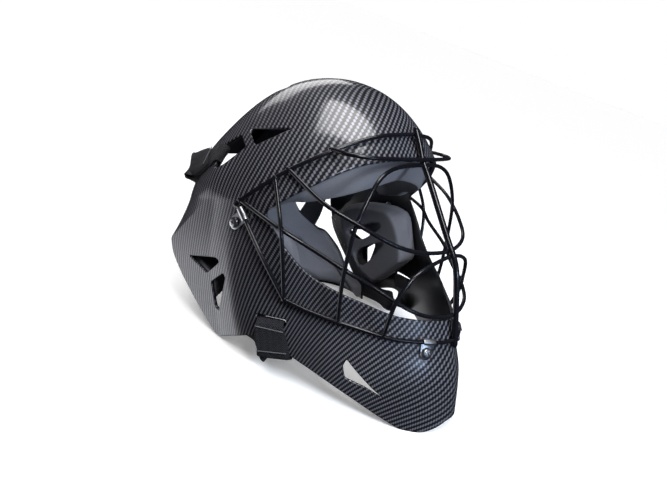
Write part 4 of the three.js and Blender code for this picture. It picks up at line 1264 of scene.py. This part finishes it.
def brow_points():
    rings = []
    for a in np.linspace(-BROW_END, BROW_END, 71):
        ring = brow_ring(a)
        edge = (BROW_END - abs(a)) * 100             # mm from the end
        if edge < 5:                                    # the ends are rounded over
            size = 0.55 + 0.45 * math.sqrt(max(1 - (1 - edge / 5) ** 2, 0))
            ring = ring.mean(0) + (ring - ring.mean(0)) * size
        rings.append(ring)
    return looped(rings)


def foam_lining():
    foam, tree, shader = new_material("grey_foam_lining", Specular_IOR_Level=0.35,
                                      Sheen_Weight=0.12, Sheen_Roughness=0.4)
    fine, cloud = grain(tree, 1400, 2), grain(tree, 22, 3)
    cells = wire_up(tree, "TexVoronoi", inputs=(object_places(tree),))
    cells.inputs["Scale"].default_value = 700
    wall = cells.outputs["Distance"]
    base = colour_mix(tree, cloud, (0.18, 0.18, 0.205, 1), (0.26, 0.26, 0.29, 1))
    tree.links.new(colour_mix(tree, math_node(tree, "MULTIPLY", wall, 0.35), base, (0.15, 0.15, 0.17, 1)),
                   shader.inputs["Base Color"])
    tree.links.new(math_node(tree, "MULTIPLY_ADD", cloud, 0.2, 0.48), shader.inputs["Roughness"])
    height = math_node(tree, "MULTIPLY_ADD", fine, 0.6, math_node(tree, "MULTIPLY", wall, 0.6))
    bumped(tree, shader, height, 0.22, 0.0004)
    return foam


foam = foam_lining()
brow = outward_faces(mesh_object("brow_foam", *brow_points()))
brow.data.materials.append(foam)
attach(brow, "root")
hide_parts("brow_pad")


# ---------------------------------------------------------------- ear pads
# One thick foam block a side, cut to the hollow of the shell behind the cheek, with a
# bevelled inner face and two windows that narrow towards the ear vents.
EAR_FACE, EAR_BEVEL = 80, 14
EAR_OUTLINE = [            # y, z at the shell; round the inner face; and at the rear shoulder
    [[92, 26], [66, 22], [76, 25]], [[50, 35], [42, 30]], [[20, 33], [14, 27]], [[4, 30], [2, 26]],
    [[-13, 23], [-4, 20]], [[-21, -4], [-12, 4]], [[-27, -24], [-17, -27]], [[-13, -34], [-8, -32]],
    [[23, -59.5], [16, -53]], [[30, -60], [21, -52]], [[51, -47], [38, -41]],
    [[74, -28], [54, -20], [63, -24]], [[92, -3], [64, 2], [75, 1]]]
EAR_WINDOWS = [            # y, z at the vent, at the inner face, and half way
    [[[82, 0], [60, 2], [82, 0]], [[47, 2], [24, 13], [38, 6]], [[39, -1], [11, 13], [28, 5]],
     [[40, -6], [13, 6], [29, -1]], [[62, -20], [40, -10], [55, -16]]],
    [[[34, -11], [6, -7], [23, -9]], [[32, -18], [8, -13], [22, -16]], [[48, -54], [33, -38], [42, -48]],
     [[57, -50], [43, -37], [51, -45]], [[60, -21], [46, -20], [54, -21]]]]


def flat_ring(rows, k, x):
    """The k-th outline of these rows at this x; a row without one uses its first."""
    ring = rounded(np.array([p[k] if k < len(p) else p[0] for p in rows], float), 2, 0.2)
    return np.column_stack([np.full(len(ring), float(x)), ring])


def ear_block():
    """The block with both windows cut through, its edges softened as cut foam's are."""
    base = rounded(np.array([p[0] for p in EAR_OUTLINE], float), 2, 0.2)
    base = side(base[:, 0], base[:, 1], -WALL - GAP - 0.4)
    wall, inner = flat_ring(EAR_OUTLINE, 2, -EAR_FACE - EAR_BEVEL), flat_ring(EAR_OUTLINE, 1, -EAR_FACE)
    wall[:, 0] = np.maximum(wall[:, 0], base[:, 0] + 3)
    block = outward_faces(mesh_object("ear_foam_right", *looped([base, wall, inner])))
    for window in EAR_WINDOWS:
        wide = flat_ring(window, 1, -60)
        mouth = wide.mean(0)            # the mouth of the window flares at the inner face
        rings = [flat_ring(window, 0, -140), flat_ring(window, 0, -104), flat_ring(window, 2, -96),
                 flat_ring(window, 1, -EAR_FACE - 5), mouth + (wide - mouth) * [1, 1.35, 1.35]]
        cut_out(block, outward_faces(mesh_object("window", *looped(rings))))
    return settled(block, ("REMESH", {"mode": "VOXEL", "voxel_size": 0.0014, "use_smooth_shade": True}),
                   ("SMOOTH", {"factor": 0.5, "iterations": 5}))


ear_right = ear_block()
ear_right.data.materials.clear()
ear_right.data.materials.append(foam)
for hand, piece in (("right", ear_right), ("left", mirror_of("ear_foam_left", ear_right))):
    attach(piece, "root")
    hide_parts(f"ear_pad_{hand}")


# ---------------------------------------------------------------- back plate
# A thin moulded plate behind the head: round in plan, curling in under the skull, with
# low wings that run forward under the ears.  It hangs in the straps and moves with them.
BOWL = np.array([          # height, half width, reach behind the middle of the head
    [46, 100, 74], [20, 100, 80], [0, 97, 79], [-20, 94, 73],
    [-38, 92, 60], [-50, 91, 50], [-80, 91, 50]], float)
BACK_TOP = np.array([      # angle round from the back, height of the plate's upper edge
    [0, 46], [0.5, 45], [0.64, 22], [0.92, 0], [1.02, -2], [1.25, -27], [1.3, -48], [1.5, -55], [1.74, -64]])
BACK_END, PLATE_T, PLATE_RIM = 1.74, 2.6, 2.5


def bowl(a, z):
    """The plate's inside, at angle a from straight back and height z."""
    a, z = np.broadcast_arrays(np.asarray(a, float), np.asarray(z, float))
    half = np.interp(z, BOWL[::-1, 0], BOWL[::-1, 1])
    reach = np.interp(z, BOWL[::-1, 0], BOWL[::-1, 2])
    return np.stack([half * np.sin(a), 50 + reach * np.cos(a), z], -1)


def back_at(a, z, out):
    """A place this far outside the bowl."""
    da = bowl(np.asarray(a) + 0.01, z) - bowl(np.asarray(a) - 0.01, z)
    dz = bowl(a, np.asarray(z) + 4) - bowl(a, np.asarray(z) - 4)
    n = np.cross(da, dz)
    n /= np.linalg.norm(n, axis=-1, keepdims=True)
    return bowl(a, z) - n * np.asarray(out)[..., None]


def back_edges(a, grow):
    """Lowest and highest points of the plate at this angle."""
    t = np.abs(a)
    y = bowl(a, np.full(np.shape(a), -60.0))[..., 1]
    high = np.interp(t, BACK_TOP[:, 0], BACK_TOP[:, 1]) + grow
    low = np.maximum(-154 + (y + 111) * math.tan(LEAN) + 6, -49 - 40 * np.maximum(t - 0.5, 0)) - grow
    return low, high


def slab(outer_out, inner_out, grow, across=121, up=19):
    """A curved slab from its offset outside and inside the bowl, closed all round."""
    a = np.linspace(-BACK_END, BACK_END, across)
    low, high = back_edges(a, grow)
    high = np.convolve(np.pad(high, 2, mode="edge"), [0.1, 0.2, 0.4, 0.2, 0.1], mode="valid")
    t = np.linspace(0, 1, up)
    z = low[:, None] + (high - low)[:, None] * t
    angles = np.repeat(a[:, None], up, 1)
    edge = np.minimum(np.minimum(t, 1 - t) * (high - low)[:, None], ((BACK_END - np.abs(a)) * 95)[:, None])
    faces_at = [back_at(angles, z, f(angles, z, edge) if callable(f) else np.full(z.shape, float(f)))
                for f in (outer_out, inner_out)]
    points = np.vstack([p.reshape(-1, 3) for p in faces_at])
    first, faces = across * up, []
    for i in range(across - 1):
        for j in range(up - 1):
            q = (i * up + j, (i + 1) * up + j, (i + 1) * up + j + 1, i * up + j + 1)
            faces += [q, tuple(first + k for k in q[::-1])]
    border = ([(i, 0) for i in range(across)] + [(across - 1, j) for j in range(1, up)]
              + [(i, up - 1) for i in range(across - 2, -1, -1)] + [(0, j) for j in range(up - 2, 0, -1)])
    ring = [i * up + j for i, j in border]
    for p, q in zip(ring, ring[1:] + ring[:1]):
        faces.append((q, p, p + first, q + first))
    return points, faces


def plate_black():
    plastic, tree, shader = new_material("moulded_black", Coat_Weight=0.15, Coat_Roughness=0.3)
    cloud, fine = grain(tree, 30, 3), grain(tree, 1100, 2)
    tree.links.new(colour_mix(tree, cloud, (0.008, 0.008, 0.010, 1), (0.018, 0.018, 0.022, 1)),
                   shader.inputs["Base Color"])
    tree.links.new(math_node(tree, "MULTIPLY_ADD", cloud, 0.15, 0.32), shader.inputs["Roughness"])
    bumped(tree, shader, fine, 0.18, 0.0003)
    return plastic


plate = outward_faces(mesh_object("curved_back_plate", *slab(PLATE_T, 0.0, PLATE_RIM)))
settled(plate, ("BEVEL", {"width": 0.0008, "segments": 3, "angle_limit": math.radians(55)}))
sharp_above(plate, 50)
plate.data.materials.append(plate_black())
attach(plate, "root")
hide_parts("back_plate")


# ---------------------------------------------------------------- back pad
# Foam on the inside of the back plate, 11 mm thick and glued down.  A pressed crease
# divides the upper panel from a rounded lower lip that runs forward into the wings.
BACK_FOAM = 11
CREASE = np.array([        # angle round from the back, height of the crease
    [0, -4], [0.3, -6], [0.6, -12], [0.75, -29], [0.95, -39], [1.25, -58], [1.74, -80]])


def pad_depth(a, z, edge):
    """How deep the foam is at a place this far from its edge, as an offset inside the bowl."""
    t = np.clip(edge / 9, 0, 1)
    full = (BACK_FOAM - GAP) * (1 - (1 - t) ** 2.4) ** (1 / 2.4)
    away = z - np.interp(np.abs(a), CREASE[:, 0], CREASE[:, 1])
    groove = 3.6 * np.exp(-(away / 3.2) ** 2) * np.clip(edge / 6, 0, 1)
    return -(GAP + np.maximum(full - groove, 0.0))


back_foam = outward_faces(mesh_object("back_foam", *slab(-GAP, pad_depth, 0.0, 161, 41)))
back_foam.data.materials.append(foam)
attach(back_foam, "root")
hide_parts("back_pad")


# ---------------------------------------------------------------- upper straps
# Black nylon webbing, 22 mm wide and 2 mm thick.  Each is sewn to the back plate, loops
# over the rear edge of the shell, and goes in through the rear crown vent, where a
# second layer with a turned hem is stitched over it.
STRAP_T, STRAP_W = 2.0, 22
EDGE_Y = 97.5                     # where the straps cross the rear edge
HUG = 0.3
UPRIGHT = (-0.2, 0.98)            # across the strap where it lies on the shell


def ribbon(route, thick, gap=1.6):
    """Webbing along a route of (point, direction across it, width): points, faces, and the
    place of each point on the flat strap."""
    centres, widths = np.array([r[0] for r in route], float), np.array([r[2] for r in route], float)
    dirs = np.array([np.asarray(r[1], float) / np.linalg.norm(r[1]) for r in route])
    run = np.concatenate([[0], np.cumsum(np.linalg.norm(np.diff(centres, axis=0), axis=1) ** 0.5)])
    line = through(centres, 12)
    shares = np.tile(np.arange(12) / 12, len(route) - 1)
    knots = np.append(np.repeat(run[:-1], 12) + shares * np.repeat(np.diff(run), 12), run[-1])
    length = np.concatenate([[0], np.cumsum(np.linalg.norm(np.diff(line, axis=0), axis=1))])
    at = np.linspace(0, length[-1], max(int(length[-1] / gap), 6))
    spots = np.stack([np.interp(at, length, line[:, k]) for k in range(3)], 1)
    when = np.interp(at, length, knots)
    wide = np.stack([np.interp(when, run, dirs[:, k]) for k in range(3)], 1)
    width = np.interp(when, run, widths)
    travel = np.gradient(spots, axis=0)
    travel /= np.linalg.norm(travel, axis=1, keepdims=True)
    wide -= travel * (wide * travel).sum(1, keepdims=True)
    wide /= np.linalg.norm(wide, axis=1, keepdims=True)
    facing = np.cross(travel, wide)
    # a flat section with round selvedges
    half_t, cols = thick / 2, 9
    ring_w = list(np.linspace(-1, 1, cols)) + list(np.linspace(1, -1, cols))
    ring_t = [math.sqrt(1 - min(abs(w), 1) ** 14) * 0.86 + 0.14 for w in ring_w[:cols]]
    ring_t += [-t for t in ring_t[::-1]]
    rings, places = [], []
    for k in range(len(at)):
        edge = min(at[k], at[-1] - at[k])
        close = 1.0 if edge > half_t else 0.35 + 0.65 * math.sqrt(max(1 - (1 - edge / half_t) ** 2, 0))
        rings.append(np.array([spots[k] + wide[k] * w * (width[k] / 2) + facing[k] * t * half_t * close
                               for w, t in zip(ring_w, ring_t)]))
        places += [(w * width[k] / 2 + (0 if t > 0 else 60), at[k]) for w, t in zip(ring_w, ring_t)]
    places += [(0, 0), (0, at[-1])]
    return *looped(rings), np.array(places)


def webbing_piece(name, route, thick, material):
    points, faces, places = ribbon(route, thick)
    piece = mesh_object(name, points, faces)
    layer = piece.data.uv_layers.new(name="weave")
    index = np.empty(len(piece.data.loops), int)
    piece.data.loops.foreach_get("vertex_index", index)
    layer.data.foreach_set("uv", places[index].ravel())
    outward_faces(piece)
    sharp_above(piece, 60)
    piece.data.materials.append(material)
    return piece


def nylon_webbing():
    """Ribs across the strap and a herringbone of threads along it, in millimetres of strap, with painted
    shade in the grooves and a painted highlight on the crests.
    """
    cloth, tree, shader = new_material("nylon_webbing", Roughness=0.62, Specular_IOR_Level=0.35,
                                       Sheen_Weight=0.05, Sheen_Roughness=0.35)
    u, v = woven_places(tree, "weave")
    slanted = math_node(tree, "ADD", v, math_node(tree, "PINGPONG", u, 2.9))
    rib = math_node(tree, "SINE", math_node(tree, "MULTIPLY", slanted, 2 * math.pi / 1.9))
    thread = math_node(tree, "SINE", math_node(tree, "MULTIPLY", u, 2 * math.pi / 0.9))
    height = math_node(tree, "MULTIPLY_ADD", thread, 0.35, rib)
    # the colour follows the rib height: painted shade in the grooves and a painted highlight on the crests,
    # then random fuzz and wear
    share = math_node(tree, "MULTIPLY_ADD", height, 0.36, 0.5)
    fuzz = grain(tree, 500, 4)
    dark = colour_mix(tree, share, (0.0015, 0.0015, 0.002, 1), (0.060, 0.060, 0.070, 1))
    groove_shade_and_wear = colour_mix(tree, math_node(tree, "MULTIPLY", fuzz, 0.25), dark, (0.02, 0.02, 0.024, 1))
    tree.links.new(groove_shade_and_wear, shader.inputs["Base Color"])
    bumped(tree, shader, math_node(tree, "ADD", height, fuzz), 0.7, 0.0004)
    return cloth


def hem_thread():
    yarn, tree, shader = new_material("hem_yarn", Roughness=0.7)
    lay = grain(tree, 900, 2)
    tree.links.new(colour_mix(tree, lay, (0.10, 0.10, 0.11, 1), (0.24, 0.24, 0.25, 1)),
                   shader.inputs["Base Color"])
    bumped(tree, shader, lay, 0.6, 0.0003)
    return yarn


def on_shell(y, z, out, width, dy, dz, hug=1.0):
    """A place on a strap; hug says how far it follows the shell's lean across its width."""
    across = (side(y + 8 * dy, z + 8 * dz) - side(y - 8 * dy, z - 8 * dz)) * [hug, 1, 1]
    return side(y, z, out), across, width


def on_plate(a, z, out, width, da, dz):
    a, z = np.asarray(a, float), np.asarray(z, float)
    across = back_at(a + 0.08 * da, z + 8 * dz, 0.0) - back_at(a - 0.08 * da, z - 8 * dz, 0.0)
    return back_at(a, z, out), across, width


def over_edge(z, back, out, twist=0.0):
    """A place on a strap behind the shell's rear edge, turned by twist away from the edge."""
    across = (side(EDGE_Y, z + 8) - side(EDGE_Y, z - 8)) * [HUG, 1, 1] + [0, 16 * twist - 1, 0]
    return side(EDGE_Y, z, out) + [0, back, 0], across, STRAP_W


o = STRAP_T / 2 + GAP
upper_route = [
    on_plate(-0.66, 0, PLATE_T + o + 0.6, STRAP_W + 3, 0.8, 0.6),
    on_plate(-0.76, 12, PLATE_T + o + 0.6, STRAP_W + 3, 0.8, 0.6),
    (np.array([-84, 106.5, 34.0]), np.array([0.25, 0.95, 0.15]), STRAP_W + 1),
    (np.array([-91, 104.5, 53.0]), np.array([0.15, 0.90, 0.35]), STRAP_W),
    over_edge(69, 7.4, -4.6, 0.4), over_edge(73.5, 6.6, 1.0), over_edge(75.5, 3.6, 5.2),
    on_shell(92, 77.2, o + 4.0, STRAP_W, *UPRIGHT, HUG),
    on_shell(81, 82.4, o + 2.6, STRAP_W - 1.5, *UPRIGHT, 0.6),
    on_shell(71.5, 87.4, o + 1.1, STRAP_W - 3.5, *UPRIGHT),
    on_shell(65.6, 90.2, o + 0.4, STRAP_W - 5, *UPRIGHT),
    on_shell(63.8, 91, -WALL / 2, STRAP_W - 5, *UPRIGHT),
    on_shell(64.8, 90.6, -WALL - 0.9, STRAP_W - 5, *UPRIGHT),
    on_shell(71, 87.6, -WALL - o - 1.5, STRAP_W - 4, *UPRIGHT),
    on_shell(82, 82, -WALL - o - 1.4, STRAP_W - 4, *UPRIGHT)]
upper_tab = [                       # the hemmed layer over the loop
    over_edge(74.2, 8.2, 2.6), over_edge(75.8, 5.4, 7.0),
    on_shell(92, 77.4, o + 6.1, STRAP_W - 1, *UPRIGHT, HUG),
    on_shell(84, 81.1, o + 5.0, STRAP_W - 2, *UPRIGHT, 0.5),
    on_shell(75.5, 85.4, o + 3.9, STRAP_W - 3.5, *UPRIGHT, 0.8)]
webbing, yarn = nylon_webbing(), hem_thread()


def hem_roll(at, across, width, radius):
    """A turned hem: a round ridge across the strap."""
    d = across / np.linalg.norm(across)
    line = [at + d * k * width for k in np.linspace(-0.48, 0.48, 13)]
    return wire_mesh(np.array(line), radius, False, 8)


upper = webbing_piece("upper_webbing_right", upper_route, STRAP_T, webbing)
tab = webbing_piece("upper_hem_layer_right", upper_tab, 1.5, webbing)
hems = joined("upper_hem_stitching_right", [
    hem_roll(*over_edge(76.2, 1.4, 8.4), 0.8),
    hem_roll(*on_shell(76.2, 85.0, o + 4.8, STRAP_W - 4, *UPRIGHT, 0.8), 0.45)])
hems.data.materials.append(yarn)
for piece, label in ((upper, "upper_webbing"), (tab, "upper_hem_layer"), (hems, "upper_hem_stitching")):
    outward_faces(piece)
    for hand, one in (("right", piece), ("left", mirror_of(label + "_left", piece))):
        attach(one, "root")
        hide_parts(f"strap_upper_{hand}")


# ---------------------------------------------------------------- lower straps
# The same webbing, wider.  Each comes from a wing of the back plate, folds under the
# lower edge of the shell and goes in through its slot; a second tab of webbing with a
# turned hem at each end closes over it.
lower_n = outward(-6, -64)
lower_flat = np.array([-lower_n[1], lower_n[0], 0])
lower_flat = lower_flat / np.linalg.norm(lower_flat) * (1 if lower_flat[1] > 0 else -1)
slot_dir = slot_along()
down_side = lambda z, out: side(SLOT_Y - (SLOT_Z - z) * 0.03, z, out)
fold = lambda out, dy, dz: down_side(-78, 0.0) + lower_n * out + np.array([0, dy, dz])
lower_route = [
    on_plate(-1.42, -66, PLATE_T + o + 0.6, 14, 0, -1),
    on_plate(-1.6, -68.5, PLATE_T + o + 0.6, 16, 0, -1),
    (np.array([-97, 27, -73.0]), np.array([0.1, 0.85, -0.45]), 18),
    (np.array([-100, 14, -78.0]), np.array([0.1, 0.97, -0.12]), 23),
    (fold(-WALL - 4.6, 2, -6.5), lower_flat, 30), (fold(-WALL / 2 - 0.2, 0, -8.4), lower_flat, 31),
    (fold(o + 0.9, 0, -5.5), lower_flat, 31), (down_side(-77, o + 1.0), lower_flat, 30),
    (down_side(-65, o + 0.9), slot_dir, 27), (down_side(-55, o + 1.6), slot_dir, 24.5),
    (down_side(-51.9, -0.4), slot_dir, 24), (down_side(-51.5, -WALL - 1), slot_dir, 24),
    (down_side(-55, -WALL - o - 1.4), slot_dir, 23), (down_side(-64, -WALL - o - 1.0), slot_dir, 23)]
lower_tab = [
    (down_side(-56.5, o + 3.4), slot_dir, 26), (down_side(-61, o + 3.0), slot_dir, 28),
    (down_side(-68, o + 2.7), slot_dir * 0.6 + lower_flat * 0.4, 28.5),
    (down_side(-75, o + 2.8), lower_flat, 28.5), (down_side(-79.5, o + 2.9), lower_flat, 28)]
lower = webbing_piece("lower_webbing_right", lower_route, STRAP_T, webbing)
lower_layer = webbing_piece("lower_loop_tab_right", lower_tab, 1.6, webbing)
lower_hems = joined("lower_hem_stitching_right", [
    hem_roll(down_side(-57.4, o + 4.3), slot_dir, 26, 0.5),
    hem_roll(down_side(-78.6, o + 3.8), lower_flat, 27, 0.5)])
lower_hems.data.materials.append(yarn)
for piece, label in ((lower, "lower_webbing"), (lower_layer, "lower_loop_tab"),
                     (lower_hems, "lower_hem_stitching")):
    outward_faces(piece)
    for hand, one in (("right", piece), ("left", mirror_of(label + "_left", piece))):
        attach(one, "root")
        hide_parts(f"strap_lower_{hand}")
